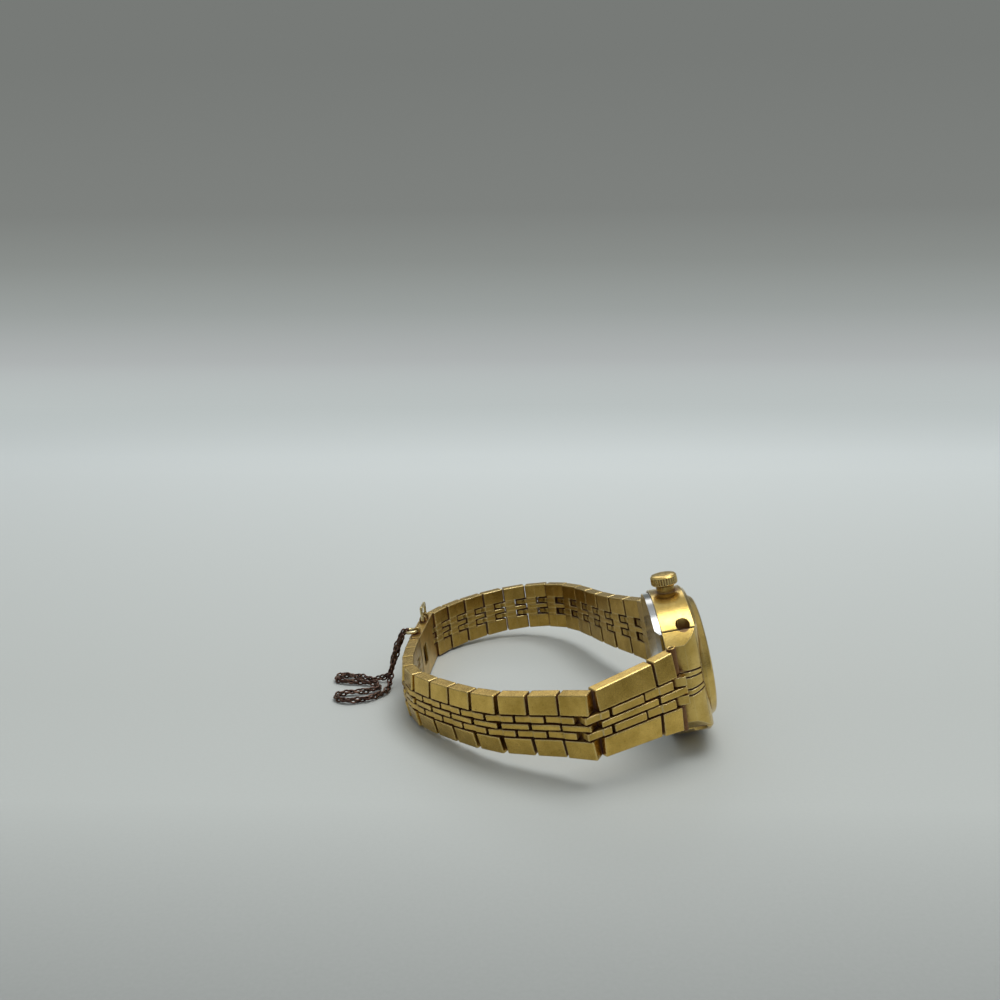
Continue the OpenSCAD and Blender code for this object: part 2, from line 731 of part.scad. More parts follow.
module balance_wheel() color(brass) lie() {
  difference() {
    disc(balance_r, balance_x, balance_x + 0.25, balance_at);
    spokes(0.35, balance_r - 0.3, 2, balance_x - 1, balance_x + 1, balance_at);
  }
  disc(0.4, third_x, third_x + wheel_t, balance_at);
  disc(0.27, balance_x - 0.16, balance_x + 0.1, balance_at);
  arbor(balance_at, bridge_out + 0.05, plate_back + 0.35);
}

// A flat spiral of half rings whose radius grows at every half turn
module hairspring() color("#3f5f8f") lie()
  translate([case_rise - 1.9, balance_at[0], balance_at[1]]) rotate([0, 90, 0])
    for (k = [0 : 9]) {
      r = 0.3 + k * 0.09;
      translate([0, (k % 2 == 0 ? 0 : -0.09), 0]) rotate([0, 0, k % 2 == 0 ? -90 : 90])
        rotate_extrude(angle = 180) translate([r - 0.03, 0]) square([0.06, 0.1]);
    }

module hour_wheel() color(brass) lie() difference() {
  union() {
    wheel(1.4, 36, dial_x - 0.27, dial_x - 0.12, [0, 0]);
    disc(hour_pipe_r, dial_x - 0.27, hour_hand_x + hand_t);
  }
  disc(cannon_r + pivot_clear, dial_x - 1, hour_hand_x + 1);
}

module minute_wheel() color(brass) lie() {
  wheel(1.3, 30, plate_front + 0.05, plate_front + 0.17, minute_at);
  wheel(0.5, 10, plate_front + 0.15, dial_x - 0.08, minute_at, deep = 0.12);
  arbor(minute_at, plate_front - 0.35, dial_x - 0.1);
}

// Two lugs on the clasp's upper edge that hold a wire along x
module edge_lug(x, y) {
  r = ring_wire / 2 + lug_clear;
  z = -clasp_half - top_gap;
  difference() {
    union() {
      translate([x - lug_t / 2, y, z]) rotate([0, 90, 0]) cylinder(r = r + lug_wall, h = lug_t);
      translate([x - lug_t / 2, y - r - lug_wall, z]) cube([lug_t, 2 * (r + lug_wall), top_gap + 0.1]);
    }
    translate([x - lug_t, y, z]) rotate([0, 90, 0]) cylinder(r = r, h = 2 * lug_t);
  }
}

module clasp_base() color(worn_gold) clasp_at() {
  half_pin = clasp_half - pin_short;
  floor_y = clasp_sheet - link_in;
  difference() {
    union() {
      across(-clasp_half, clasp_half) translate([-pin_in, -link_in])
        square([block_end + pin_in, link_in + clasp_out - crown_drop]);
      across(-clasp_half, clasp_half) translate([0, -link_in]) square([cover_end, clasp_sheet]);
      both_sides() across(clasp_half - clasp_sheet, clasp_half)
        translate([0, -link_in]) square([cover_end, link_in + wall_top]);
    }
    both_sides() upright(-2, 3) arm_gap(far_count * pitch, pitch, -2, arm_start);
    upright(-2, floor_y + 0.1) translate([8.2, -1.65]) square([3.4, 3.3]);
    post(pin_r + bore_fit, -half_pin - bore_fit, half_pin + bore_fit);
    post(cover_pin_r + bore_fit, -clasp_half, clasp_half, cover_pin);
  }
  post(pin_r, -half_pin, half_pin);
  post(cover_pin_r, -clasp_half, clasp_half, cover_pin);
  post(bar_r, clasp_sheet - clasp_half - 0.02, clasp_half - clasp_sheet + 0.02, [clasp_len, 0]);
  edge_lug(bail_x[0], bail_y);
  edge_lug(bail_x[1], bail_y);
  edge_lug(ring_x, ring_y);
}

// Outer plate: it turns on its own pin inside the walls and snaps over the bar
module clasp_cover() color(gold) clasp_at() {
  ear_out = clasp_half - clasp_sheet - 0.1;
  ear_r = cover_pin_r + 0.2;
  difference() {
    union() {
      intersection() {
        across(-clasp_half, clasp_half) polygon([
          [heel_x(cover_base), cover_base], [cover_end, cover_base],
          [cover_end, clasp_out - edge_cut / 2], [cover_end - edge_cut / 2, clasp_out],
          [cover_start + edge_cut / 2, clasp_out],
          [heel_x(clasp_out - edge_cut / 2), clasp_out - edge_cut / 2]
        ]);
        slab(0, cover_end + 1) polygon([
          [0, -clasp_half], [0, clasp_half], [clasp_out - crown_drop, clasp_half],
          [clasp_out, side_in(clasp_w)], [clasp_out, -side_in(clasp_w)],
          [clasp_out - crown_drop, -clasp_half]
        ]);
      }
      both_sides() across(ear_out - ear_w, ear_out) {
        translate(cover_pin) circle(ear_r);
        translate(cover_pin) square([ear_r + 0.4, cover_base + 0.1 - cover_pin[1]]);
      }
      across(-2.2, 2.2) translate([clasp_len - 1.1, -0.1]) square([0.35, cover_base + 0.2]);
    }
    both_sides() upright(cover_base + 0.25, 3)
      grooves(far_count * pitch, pitch, cover_start - 1, cover_end + 1);
    for (k = [1 : 2]) both_sides() upright(cover_base + 0.25, 3)
      translate([k * pitch + 0.9, side_in(clasp_w)]) square([0.25, clasp_w]);
    both_sides() post(cover_pin_r + pin_clear, 0, clasp_w, cover_pin);
  }
}

// Wire frame that swings on the clasp's upper edge
module bail() color(gold) clasp_at() {
  z = -clasp_half - top_gap;
  x0 = bail_x[0] - 0.65;
  x1 = bail_x[1] + 0.65;
  r = ring_wire / 2;
  for (up = [0, bail_rise]) translate([x0, bail_y, z - up]) rotate([0, 90, 0]) cylinder(r = r, h = x1 - x0);
  for (x = [x0, x1]) {
    translate([x, bail_y, z - bail_rise]) cylinder(r = r, h = bail_rise);
    for (up = [0, bail_rise]) translate([x, bail_y, z - up]) sphere(r);
  }
}

module jump_ring() color(gold) clasp_at()
  translate([ring_x, ring_y + ring_r, -clasp_half - top_gap]) rotate_extrude()
    translate([ring_r, 0]) circle(ring_wire / 2, $fn = 24);

// A tube swept along the chain's route, with one ring of corners at each point
function unit(v) = v / norm(v);
function route_dir(i) =
  unit(chain_route[min(i + 1, len(chain_route) - 1)] - chain_route[max(i - 1, 0)]);
// The side direction of each ring, carried on from ring to ring so that the tube doesn't twist
function route_side(i) =
  let (d = route_dir(i), u = i == 0 ? [1, 0, 0] : route_side(i - 1))
  unit(u - (u * d) * d);

module safety_chain() color(dark) {
  sides = 8;
  count = len(chain_route);
  rings = [for (i = [0 : count - 1])
    let (u = route_side(i), v = cross(route_dir(i), u))
    for (k = [0 : sides - 1])
      let (a = 360 * (k + 0.5) / sides)
      chain_route[i] + chain_w / 2 * (cos(a) * u + sin(a) * v)];
  walls = [for (i = [0 : count - 2], k = [0 : sides - 1])
    let (a = i * sides + k, b = i * sides + (k + 1) % sides)
    each [[a, a + sides, b], [b, a + sides, b + sides]]];
  translate([stand[0], stand[1], 0])
    polyhedron(rings, concat(
      [[for (k = [0 : sides - 1]) k]],
      walls,
      [[for (k = [sides - 1 : -1 : 0]) (count - 1) * sides + k]]));
}

case_body();
bezel();
crystal();
dial();
caseback();
gasket();
crown();
stem();
stem_detent();
spring_bars();
hour_hand();
minute_hand();
mainplate();
train_bridge();
barrel();
centre_wheel();
third_wheel();
fourth_wheel();
escape_wheel();
pallet_fork();
balance_wheel();
hairspring();
balance_cock();
hour_wheel();
minute_wheel();
bridge_screws();
end_link_12();
end_link_6();
brick_a();
brick_b();
for (i = [1 : near_count]) near_link(i);
for (i = [1 : far_count]) far_link(i);
clasp_base();
clasp_cover();
bail();
jump_ring();
safety_chain();
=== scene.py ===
import json
import math

import bpy
from mathutils import Matrix, Vector


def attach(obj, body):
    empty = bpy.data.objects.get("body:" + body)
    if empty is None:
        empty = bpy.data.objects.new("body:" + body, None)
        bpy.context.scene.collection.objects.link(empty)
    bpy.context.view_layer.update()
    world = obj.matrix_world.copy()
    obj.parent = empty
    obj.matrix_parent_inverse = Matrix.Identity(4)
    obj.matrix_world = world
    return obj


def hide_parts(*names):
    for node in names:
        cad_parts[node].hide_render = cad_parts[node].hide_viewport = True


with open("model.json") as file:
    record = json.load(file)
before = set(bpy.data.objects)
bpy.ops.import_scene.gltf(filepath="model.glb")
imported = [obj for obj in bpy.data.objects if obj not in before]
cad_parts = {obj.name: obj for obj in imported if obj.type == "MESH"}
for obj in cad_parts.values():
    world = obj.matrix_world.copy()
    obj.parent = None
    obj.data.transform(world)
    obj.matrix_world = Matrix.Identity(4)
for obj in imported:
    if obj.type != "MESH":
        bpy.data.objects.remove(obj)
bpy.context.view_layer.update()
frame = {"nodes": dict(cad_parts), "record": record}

# A bracelet watch on its side, crown up, its bracelet closed in a loop. The frame's solids get their
# finishes here, and the bricks and the safety chain are made anew, with eased edges and separate links.
MM = 0.001
scene = bpy.context.scene
scene.view_settings.view_transform = "Standard"

# Rest place of the watch's middle over the floor, in millimetres, and its tilts in degrees, as in the
# part's source
STAND = Vector((16.905, -11.922, 10.288))
LEAN_Y, LEAN_X = -11, -1

# Frame of the lying watch: X out of the dial, -Y to 12 o'clock, +Z to the crown
LIE = (Matrix.Translation(STAND * MM) @ Matrix.Rotation(math.radians(LEAN_Y), 4, "Y")
       @ Matrix.Rotation(math.radians(LEAN_X), 4, "X"))
LIE_OUT, LIE_ALONG, LIE_UP = (LIE.to_3x3().col[i].copy() for i in range(3))


# Small helpers
def linear(code):
    """An sRGB hex colour as linear RGBA."""
    parts = [int(code[i:i + 2], 16) / 255 for i in (1, 3, 5)]
    return [c / 12.92 if c <= 0.04045 else ((c + 0.055) / 1.055) ** 2.4 for c in parts] + [1]


def live(sockets, key=0):
    """The socket with this name or place, among those that the node's settings leave in use."""
    used = [socket for socket in sockets if socket.enabled]
    return used[key] if isinstance(key, int) else next(socket for socket in used if socket.name == key)


def add(tree, kind, inputs=None, **settings):
    """Adds one node with its settings. Each input is a value, or a node or socket that feeds it, or a list
    of these."""
    node = tree.nodes.new(kind)
    for key, value in settings.items():
        setattr(node, key, value)
    for key, value in (inputs or {}).items():
        feeds = value if isinstance(value, list) else [value]
        if isinstance(feeds[0], (bpy.types.Node, bpy.types.NodeSocket)):
            for feed in feeds:
                tree.links.new(live(feed.outputs) if isinstance(feed, bpy.types.Node) else feed,
                               live(node.inputs, key))
        else:
            live(node.inputs, key).default_value = value
    return node


def material(name):
    """A new material and its empty node tree."""
    mat = bpy.data.materials.new(name)
    mat.use_nodes = True
    mat.node_tree.nodes.clear()
    return mat, mat.node_tree


def node_group(name, result, geometry=(), sizes=(), switches=()):
    """A new Geometry Nodes tree that makes one result, and the sockets of its named inputs."""
    tree = bpy.data.node_groups.new(name, "GeometryNodeTree")
    for labels, kind in ((geometry, "Geometry"), (sizes, "Float"), (switches, "Bool")):
        for label in labels:
            tree.interface.new_socket(label, in_out="INPUT", socket_type="NodeSocket" + kind)
    tree.interface.new_socket(result, in_out="OUTPUT", socket_type="NodeSocketGeometry")
    return tree, add(tree, "NodeGroupInput").outputs


def object_from(name, data):
    """An object in the scene that holds this mesh, camera or lamp."""
    obj = bpy.data.objects.new(name, data)
    scene.collection.objects.link(obj)
    return obj


def grown(name, tree, seed, values, ease=0.0):
    """A plain mesh object, made from a seed mesh by a node tree with these values, its edges eased."""
    obj = object_from(name, seed)
    nodes = obj.modifiers.new("nodes", "NODES")
    nodes.node_group = tree
    for item in tree.interface.items_tree:
        if item.in_out == "INPUT" and item.name in values:
            nodes[item.identifier] = values[item.name]
    if ease:
        bevel = obj.modifiers.new("ease", "BEVEL")
        bevel.width, bevel.segments, bevel.use_clamp_overlap = ease, 2, True
        bevel.limit_method, bevel.angle_limit = "ANGLE", math.radians(30)
    solid = bpy.data.meshes.new_from_object(obj.evaluated_get(bpy.context.evaluated_depsgraph_get()))
    obj.modifiers.clear()
    obj.data = solid
    return obj


# Camera
# The photograph's, found from the hinge lines of the bracelet: its angles in degrees, its place from the
# watch's middle in millimetres, and its focal length in pixels of a picture this wide
CAMERA_PITCH, CAMERA_YAW, CAMERA_ROLL = 10.086, -1.799, -0.444
CAMERA_FROM_WATCH = Vector((-19.74, -133.93, 47.58))
FOCAL_PIXELS, PICTURE_PIXELS, SENSOR_WIDTH = 955.9, 1000, 36


def make_camera():
    """The camera in front of the watch, a little above it, level but for a slight roll."""
    pitch, yaw, roll = (math.radians(a) for a in (CAMERA_PITCH, CAMERA_YAW, CAMERA_ROLL))
    forward = Vector((math.sin(yaw) * math.cos(pitch), math.cos(yaw) * math.cos(pitch), -math.sin(pitch)))
    right = Vector((math.cos(yaw), -math.sin(yaw), 0))
    up = right.cross(forward)
    right, up = (right * math.cos(roll) + up * math.sin(roll),
                 up * math.cos(roll) - right * math.sin(roll))
    data = bpy.data.cameras.new("camera")
    data.sensor_width = SENSOR_WIDTH
    data.lens = SENSOR_WIDTH * FOCAL_PIXELS / PICTURE_PIXELS
    data.clip_start, data.clip_end = 0.01, 20
    cam = object_from("camera", data)
    place = (STAND + CAMERA_FROM_WATCH) * MM
    cam.matrix_world = Matrix.Translation(place) @ Matrix((right, up, -forward)).transposed().to_4x4()
    scene.camera = cam


make_camera()


# Safety chain
# Its route over the floor, in millimetres from under the watch's middle. The part's source has the same
# points, but for the ends, which here reach into the jump ring, and the far bend, drawn in by 0.25 mm.
CHAIN_ROUTE = [
    (-40.4, 18.7, 8.55), (-41, 18.7, 7.9), (-41.5, 18.6, 6.2), (-42.4, 18.3, 3.6), (-43.3, 17.8, 1.4),
    (-45.2, 17.6, 0.6), (-48, 18.4, 0.6), (-50.6, 19.2, 0.6), (-51.95, 18.6, 0.6),
    (-51.75, 17, 0.6), (-50, 16.4, 0.6), (-47.6, 16, 0.6), (-45.4, 15.4, 0.6),
    (-44.4, 14, 0.6), (-45.6, 12.4, 0.6), (-48, 11.6, 0.6), (-50.2, 10.8, 0.6),
    (-50.4, 9, 0.6), (-48.4, 8, 0.6), (-46, 8.6, 0.6), (-44, 10.4, 0.6),
    (-42.9, 12.6, 0.6), (-42.7, 14.6, 1.2), (-42.6, 16, 3), (-42.2, 17, 5.2), (-41.5, 17.4, 7.3),
    (-40.7, 17.9, 8.6),
]

# The two strands' distance from the route, and the run in which they twist by one radian
STRAND_OFFSET, STRAND_RUN = 0.2, 1.1

# Sizes of the links in millimetres, and the turns in degrees of the first link and from link to link
CHAIN_LINK = {"Link pitch": 0.78, "Link length": 1.24, "Link width": 0.8, "Wire radius": 0.15}
FIRST_TURN, LINK_TURN = 40, 85
LINK_SIDES, WIRE_SIDES = 12, 6


def smooth_route(points, steps=5):
    """Points on a Catmull-Rom curve through the route's points."""
    ends = [points[0] * 2 - points[1]] + points + [points[-1] * 2 - points[-2]]
    out = []
    for a, b, c, d in zip(ends, ends[1:], ends[2:], ends[3:]):
        for k in range(steps):
            t = k / steps
            out.append(0.5 * (2 * b + (c - a) * t + (2 * a - 5 * b + 4 * c - d) * t * t
                              + (3 * b - a - 3 * c + d) * t ** 3))
    return out + [points[-1]]


def twisted_strands(route):
    """A mesh of two lines that twist about each other along the route."""
    verts, edges = [], []
    for turn in (0, math.pi):
        edges += [(len(verts) + i, len(verts) + i + 1) for i in range(len(route) - 1)]
        for i, point in enumerate(route):
            before, after = route[max(i - 1, 0)], route[min(i + 1, len(route) - 1)]
            ahead = (after - before).normalized()
            aside = ahead.orthogonal() if abs(ahead.z) > 0.9 else ahead.cross(Vector((0, 0, 1)))
            aside = Matrix.Rotation(turn, 3, ahead) @ aside.normalized()
            verts.append(point + aside * STRAND_OFFSET * MM)
            turn += (point - before).length / (STRAND_RUN * MM)
    line = bpy.data.meshes.new("chain line")
    line.from_pydata(verts, edges, [])
    return line


def chain_tree(mat):
    """Geometry nodes that thread oval wire links along a line, each turned from its neighbour."""
    tree, given = node_group("chain links", "Links", ["Route"], [*CHAIN_LINK, "Link turn"])
    line = add(tree, "GeometryNodeMeshToCurve", {"Mesh": given["Route"]})
    spaced = add(tree, "GeometryNodeResampleCurve", {"Curve": line, "Length": given["Link pitch"]},
                 mode="LENGTH")
    ring = add(tree, "GeometryNodeCurvePrimitiveCircle", {"Resolution": LINK_SIDES, "Radius": 0.5},
               mode="RADIUS")
    long_in, wide_in = (
        add(tree, "ShaderNodeMath", {0: given["Wire radius"], 1: -2.0, 2: given[size]},
            operation="MULTIPLY_ADD")
        for size in ("Link length", "Link width"))
    inside = add(tree, "ShaderNodeCombineXYZ", {"X": long_in, "Y": wide_in, "Z": 1.0})
    oval = add(tree, "GeometryNodeTransform", {"Geometry": ring, "Scale": inside})
    wire = add(tree, "GeometryNodeCurvePrimitiveCircle",
               {"Resolution": WIRE_SIDES, "Radius": given["Wire radius"]}, mode="RADIUS")
    link = add(tree, "GeometryNodeCurveToMesh", {"Curve": oval, "Profile Curve": wire})

    tangent = add(tree, "GeometryNodeInputTangent")
    along = add(tree, "FunctionNodeAlignRotationToVector", {"Vector": tangent}, axis="X")
    index = add(tree, "GeometryNodeInputIndex")
    odd = add(tree, "ShaderNodeMath", {0: index, 1: 2.0}, operation="FLOORED_MODULO")
    angle = add(tree, "ShaderNodeMath", {0: odd, 1: given["Link turn"], 2: math.radians(FIRST_TURN)},
                operation="MULTIPLY_ADD")
    roll = add(tree, "FunctionNodeAxisAngleToRotation", {"Axis": (1, 0, 0), "Angle": angle})
    turned = add(tree, "FunctionNodeRotateRotation", {"Rotation": along, "Rotate By": roll},
                 rotation_space="LOCAL")
    placed = add(tree, "GeometryNodeInstanceOnPoints",
                 {"Points": spaced, "Instance": link, "Rotation": turned})
    solid = add(tree, "GeometryNodeRealizeInstances", {"Geometry": placed})
    shaded = add(tree, "GeometryNodeSetShadeSmooth", {"Geometry": solid})
    coated = add(tree, "GeometryNodeSetMaterial", {"Geometry": shaded, "Material": mat})
    add(tree, "NodeGroupOutput", {"Links": coated})
    return tree


def make_chain(mat):
    """The safety chain, two strands of links from the clasp's jump ring over the floor and back."""
    route = smooth_route([(Vector(p) + Vector((STAND.x, STAND.y, 0))) * MM for p in CHAIN_ROUTE])
    sizes = {label: size * MM for label, size in CHAIN_LINK.items()}
    chain = grown("safety_chain_links", chain_tree(mat), twisted_strands(route),
                  {**sizes, "Link turn": math.radians(LINK_TURN)})
    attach(chain, "clasp_base")
    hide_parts("safety_chain")


# Materials
# Colours of the gold plate where it is fresh and worn, and of the red-brown dirt and painted shade in its
# seams
GOLD, CHAMPAGNE, SEAM_DIRT_AND_SHADE = "#dcb862", "#bb9a4a", "#5a2014"

# Patterns of the plate, by their size in millimetres and their detail: clouds of wear, uneven plate, pits,
# and scratches, which are drawn about five times as wide as real ones so that they show
PLATE_PATTERNS = ((2.6, 4), (0.7, 3), (0.22, 3), (0.05, 2))

# Patterns of clean metal in millimetres: drifts of its colour, and its grain, drawn coarser than a real one
# so that it shows
DRIFT_SIZE, GRAIN_SIZE = 1.5, 0.08

# Holes in the case's lugs, in millimetres: their axes run along the crown's direction, this far out of the
# case's middle and this far to either side of it, and this is their radius
LUG_HOLE_OUT, LUG_HOLE_ALONG, LUG_HOLE_R = 2.5, 8.55, 0.95


def along_axes(tree, middle, axes):
    """How far the surface lies from a middle point along each of these directions."""
    place = add(tree, "ShaderNodeTexCoord").outputs["Object"]
    moved = add(tree, "ShaderNodeVectorMath", {0: place, 1: tuple(middle)}, operation="SUBTRACT")
    return [add(tree, "ShaderNodeVectorMath", {0: moved, 1: tuple(axis)}, operation="DOT_PRODUCT")
            for axis in axes]


def in_lug_holes(tree):
    """1 inside the holes of the case's lugs, 0 elsewhere."""
    middle = LIE @ Vector((LUG_HOLE_OUT * MM, 0, 0))
    out, along = along_axes(tree, middle, (LIE_OUT, LIE_ALONG))
    either = add(tree, "ShaderNodeMath", {0: along}, operation="ABSOLUTE")
    from_axis = add(tree, "ShaderNodeMath", {0: either, 1: LUG_HOLE_ALONG * MM}, operation="SUBTRACT")
    pair = add(tree, "ShaderNodeCombineXYZ", {"X": out, "Y": from_axis})
    away = add(tree, "ShaderNodeVectorMath", {0: pair}, operation="LENGTH")
    return add(tree, "ShaderNodeMapRange", {"Value": away, "From Min": (LUG_HOLE_R + 0.03) * MM,
                                            "From Max": (LUG_HOLE_R - 0.06) * MM})


def plated(name, fresh, worn, rough, reach=0.6, edge=0.14, bump=0.3, soil=1.0, inner=0.0, dirt_and_shade_colour=SEAM_DIRT_AND_SHADE,
           lug_holes=False):
    """Plated metal that was worn for years: two tones of it in clouds, painted shade on the inner faces of
    the bricks, freckles where the plate is pitted, paler worn edges with painted highlights, and dirt with
    painted shade where the surface is shut in. Reach and edge are in millimetres."""
    mat, tree = material(name)
    place = add(tree, "ShaderNodeTexCoord").outputs["Object"]
    cloud, lumps, grain, fine = [
        add(tree, "ShaderNodeTexNoise", {"Vector": place, "Scale": 1 / (size * MM), "Detail": detail,
                                         "Roughness": 0.6})
        for size, detail in PLATE_PATTERNS]

    # Two tones of the plate, painted shade on the inner faces of the bricks, and the freckles
    tone = add(tree, "ShaderNodeMapRange", {"Value": cloud, "From Min": 0.35, "From Max": 0.68})
    body = add(tree, "ShaderNodeMix", {"Factor": tone, "A": linear(fresh), "B": linear(worn)},
               data_type="RGBA")
    brick_place = add(tree, "ShaderNodeAttribute", attribute_name="brick place").outputs["Vector"]
    outwards = add(tree, "ShaderNodeSeparateXYZ", {0: brick_place}).outputs["Y"]
    inside = add(tree, "ShaderNodeMapRange", {"Value": outwards, "From Min": -0.6 * MM,
                                              "From Max": -0.76 * MM, "To Max": inner})
    body = add(tree, "ShaderNodeMix", {"Factor": inside, "A": body, "B": linear("#6d4f22")},
               data_type="RGBA")
    spots = add(tree, "ShaderNodeMapRange", {"Value": grain, "From Min": 0.6, "From Max": 0.7})
    pitted = add(tree, "ShaderNodeMapRange", {"Value": lumps, "From Min": 0.4, "From Max": 0.62,
                                              "To Min": 0.1, "To Max": 0.75})
    freckles = add(tree, "ShaderNodeMath", {0: spots, 1: pitted}, operation="MULTIPLY")
    body = add(tree, "ShaderNodeMix", {"Factor": freckles, "A": body, "B": linear("#4a3013")},
               data_type="RGBA")

    # Paler edges, where the rounded normal turns away from the flat one: worn edges with a painted
    # highlight
    rounded = add(tree, "ShaderNodeBevel", {"Radius": edge * MM}, samples=4)
    flat = add(tree, "ShaderNodeNewGeometry").outputs["Normal"]
    turned = add(tree, "ShaderNodeVectorMath", {0: rounded, 1: flat}, operation="DOT_PRODUCT")
    worn_edge_and_highlight = add(tree, "ShaderNodeMapRange", {"Value": turned, "From Min": 0.99, "From Max": 0.9})
    pale = add(tree, "ShaderNodeMath", {0: worn_edge_and_highlight, 1: 0.8}, operation="MULTIPLY")
    body = add(tree, "ShaderNodeMix", {"Factor": pale, "A": body, "B": linear("#fdf0bc")}, data_type="RGBA")

    # A patchy film near the seams, and packed dirt in them, in the lugs' holes and in the barrel's bore:
    # dirt together with painted shade where the surface is shut in
    open_sky = add(tree, "ShaderNodeAmbientOcclusion", {"Distance": reach * MM}, samples=8).outputs["AO"]
    seam_film_and_shade = add(tree, "ShaderNodeMapRange", {"Value": open_sky, "From Min": 0.98, "From Max": 0.6,
                                            "To Max": 0.5})
    patchy = add(tree, "ShaderNodeMapRange", {"Value": lumps, "From Min": 0.35, "From Max": 0.65,
                                              "To Min": 0.3})
    seam_film_and_shade = add(tree, "ShaderNodeMath", {0: seam_film_and_shade, 1: patchy}, operation="MULTIPLY")
    body = add(tree, "ShaderNodeMix", {"Factor": seam_film_and_shade, "A": body, "B": linear("#5a3a1a")}, data_type="RGBA")
    packed_dirt_and_shade = add(tree, "ShaderNodeAttribute", attribute_name="soiled").outputs["Fac"]
    if lug_holes:
        packed_dirt_and_shade = in_lug_holes(tree)
    packed_dirt_and_shade = add(tree, "ShaderNodeMath", {0: packed_dirt_and_shade, 1: 0.85}, operation="MULTIPLY")
    shut = add(tree, "ShaderNodeMapRange", {"Value": open_sky, "From Min": 0.74, "From Max": 0.42})
    shut = add(tree, "ShaderNodeMath", {0: shut, 1: packed_dirt_and_shade}, operation="MAXIMUM")
    crumbs = add(tree, "ShaderNodeMapRange", {"Value": grain, "From Min": 0.3, "From Max": 0.55,
                                              "To Min": 0.8 * soil, "To Max": soil})
    dirt_and_shade = add(tree, "ShaderNodeMath", {0: shut, 1: crumbs}, operation="MULTIPLY")
    body = add(tree, "ShaderNodeMix", {"Factor": dirt_and_shade, "A": body, "B": linear(dirt_and_shade_colour)}, data_type="RGBA")
    bare = add(tree, "ShaderNodeMapRange", {"Value": dirt_and_shade, "To Min": 1.0, "To Max": 0.1})

    # The finish's fine grain in the roughness, the arms of the bricks duller, and uneven plate in the bump
    arm = add(tree, "ShaderNodeAttribute", attribute_name="arm").outputs["Fac"]
    gloss = add(tree, "ShaderNodeMapRange", {"Value": fine, "From Min": 0.3, "From Max": 0.7,
                                             "To Min": rough - 0.05, "To Max": rough + 0.07})
    for more, amount in ((lumps, 0.12), (arm, 0.1), (inside, 0.12), (worn_edge_and_highlight, -0.1), (dirt_and_shade, 0.4)):
        gloss = add(tree, "ShaderNodeMath", {0: more, 1: amount, 2: gloss}, operation="MULTIPLY_ADD",
                    use_clamp=True)
    height = add(tree, "ShaderNodeMath", {0: grain, 1: 0.6, 2: fine}, operation="MULTIPLY_ADD")
    rise = add(tree, "ShaderNodeMath", {0: arm, 1: 5.0, 2: 1.5}, operation="MULTIPLY_ADD")
    height = add(tree, "ShaderNodeMath", {0: lumps, 1: rise, 2: height}, operation="MULTIPLY_ADD")
    relief = add(tree, "ShaderNodeBump", {"Strength": bump, "Distance": 0.01 * MM, "Height": height,
                                          "Normal": rounded})
    shader = add(tree, "ShaderNodeBsdfPrincipled", {"Base Color": body, "Metallic": bare,
                                                    "Roughness": gloss, "Normal": relief})
    add(tree, "ShaderNodeOutputMaterial", {"Surface": shader})
    return mat


def bare_metal(name, colour, other, rough, grain_size=GRAIN_SIZE, bump=0.15):
    """A clean metal part: its colour drifts a little, and its roughness has the grain of its finish."""
    mat, tree = material(name)
    place = add(tree, "ShaderNodeTexCoord").outputs["Object"]
    grain, cloud = (
        add(tree, "ShaderNodeTexNoise", {"Vector": place, "Scale": 1 / (size * MM), "Detail": 3.0})
        for size in (grain_size, DRIFT_SIZE))
    rounded = add(tree, "ShaderNodeBevel", {"Radius": 0.04 * MM}, samples=4)
    relief = add(tree, "ShaderNodeBump", {"Strength": bump, "Distance": 0.01 * MM, "Height": grain,
                                          "Normal": rounded})
    drift = add(tree, "ShaderNodeMapRange", {"Value": cloud, "From Min": 0.35, "From Max": 0.65})
    body = add(tree, "ShaderNodeMix", {"Factor": drift, "A": linear(colour), "B": linear(other)},
               data_type="RGBA")
    gloss = add(tree, "ShaderNodeMapRange", {"Value": grain, "From Min": 0.3, "From Max": 0.7,
                                             "To Min": rough - 0.05, "To Max": rough + 0.06})
    shader = add(tree, "ShaderNodeBsdfPrincipled", {"Base Color": body, "Metallic": 1.0,
                                                    "Roughness": gloss, "Normal": relief})
    add(tree, "ShaderNodeOutputMaterial", {"Surface": shader})
    return mat


def acrylic_crystal():
    """Pressed acrylic: clear and slightly warm, with the faint haze of fine polishing marks."""
    mat, tree = material("acrylic crystal")
    place = add(tree, "ShaderNodeTexCoord").outputs["Object"]
    marks = add(tree, "ShaderNodeTexNoise", {"Vector": place, "Scale": 1 / (0.06 * MM), "Detail": 4.0,
                                             "Roughness": 0.6})
    backdrop_glow = add(tree, "ShaderNodeMapRange", {"Value": marks, "From Min": 0.45, "From Max": 0.75,
                                            "To Min": 0.01, "To Max": 0.06})
    shader = add(tree, "ShaderNodeBsdfPrincipled", {"Base Color": linear("#f6f7f4"), "Roughness": backdrop_glow,
                                                    "IOR": 1.49, "Transmission Weight": 1.0})
    add(tree, "ShaderNodeOutputMaterial", {"Surface": shader})
    return mat


def soft_rubber():
    """Moulded black rubber of the seal: matt and almost black, with a faint grain."""
    mat, tree = material("moulded black rubber")
    place = add(tree, "ShaderNodeTexCoord").outputs["Object"]
    grain = add(tree, "ShaderNodeTexNoise", {"Vector": place, "Scale": 1 / (0.1 * MM), "Detail": 3.0,
                                             "Roughness": 0.6})
    body = add(tree, "ShaderNodeMix", {"Factor": grain, "A": linear("#161616"), "B": linear("#242322")},
               data_type="RGBA")
    matt = add(tree, "ShaderNodeMapRange", {"Value": grain, "From Min": 0.3, "From Max": 0.7,
                                            "To Min": 0.55, "To Max": 0.75})
    shader = add(tree, "ShaderNodeBsdfPrincipled", {"Base Color": body, "Roughness": matt})
    add(tree, "ShaderNodeOutputMaterial", {"Surface": shader})
    return mat


# Heights over the dial's face where the sides of its batons start and where their tops do, in millimetres
DIAL_OUT, BATON_SIDE, BATON_TOP = 2.8, 0.301, 0.365


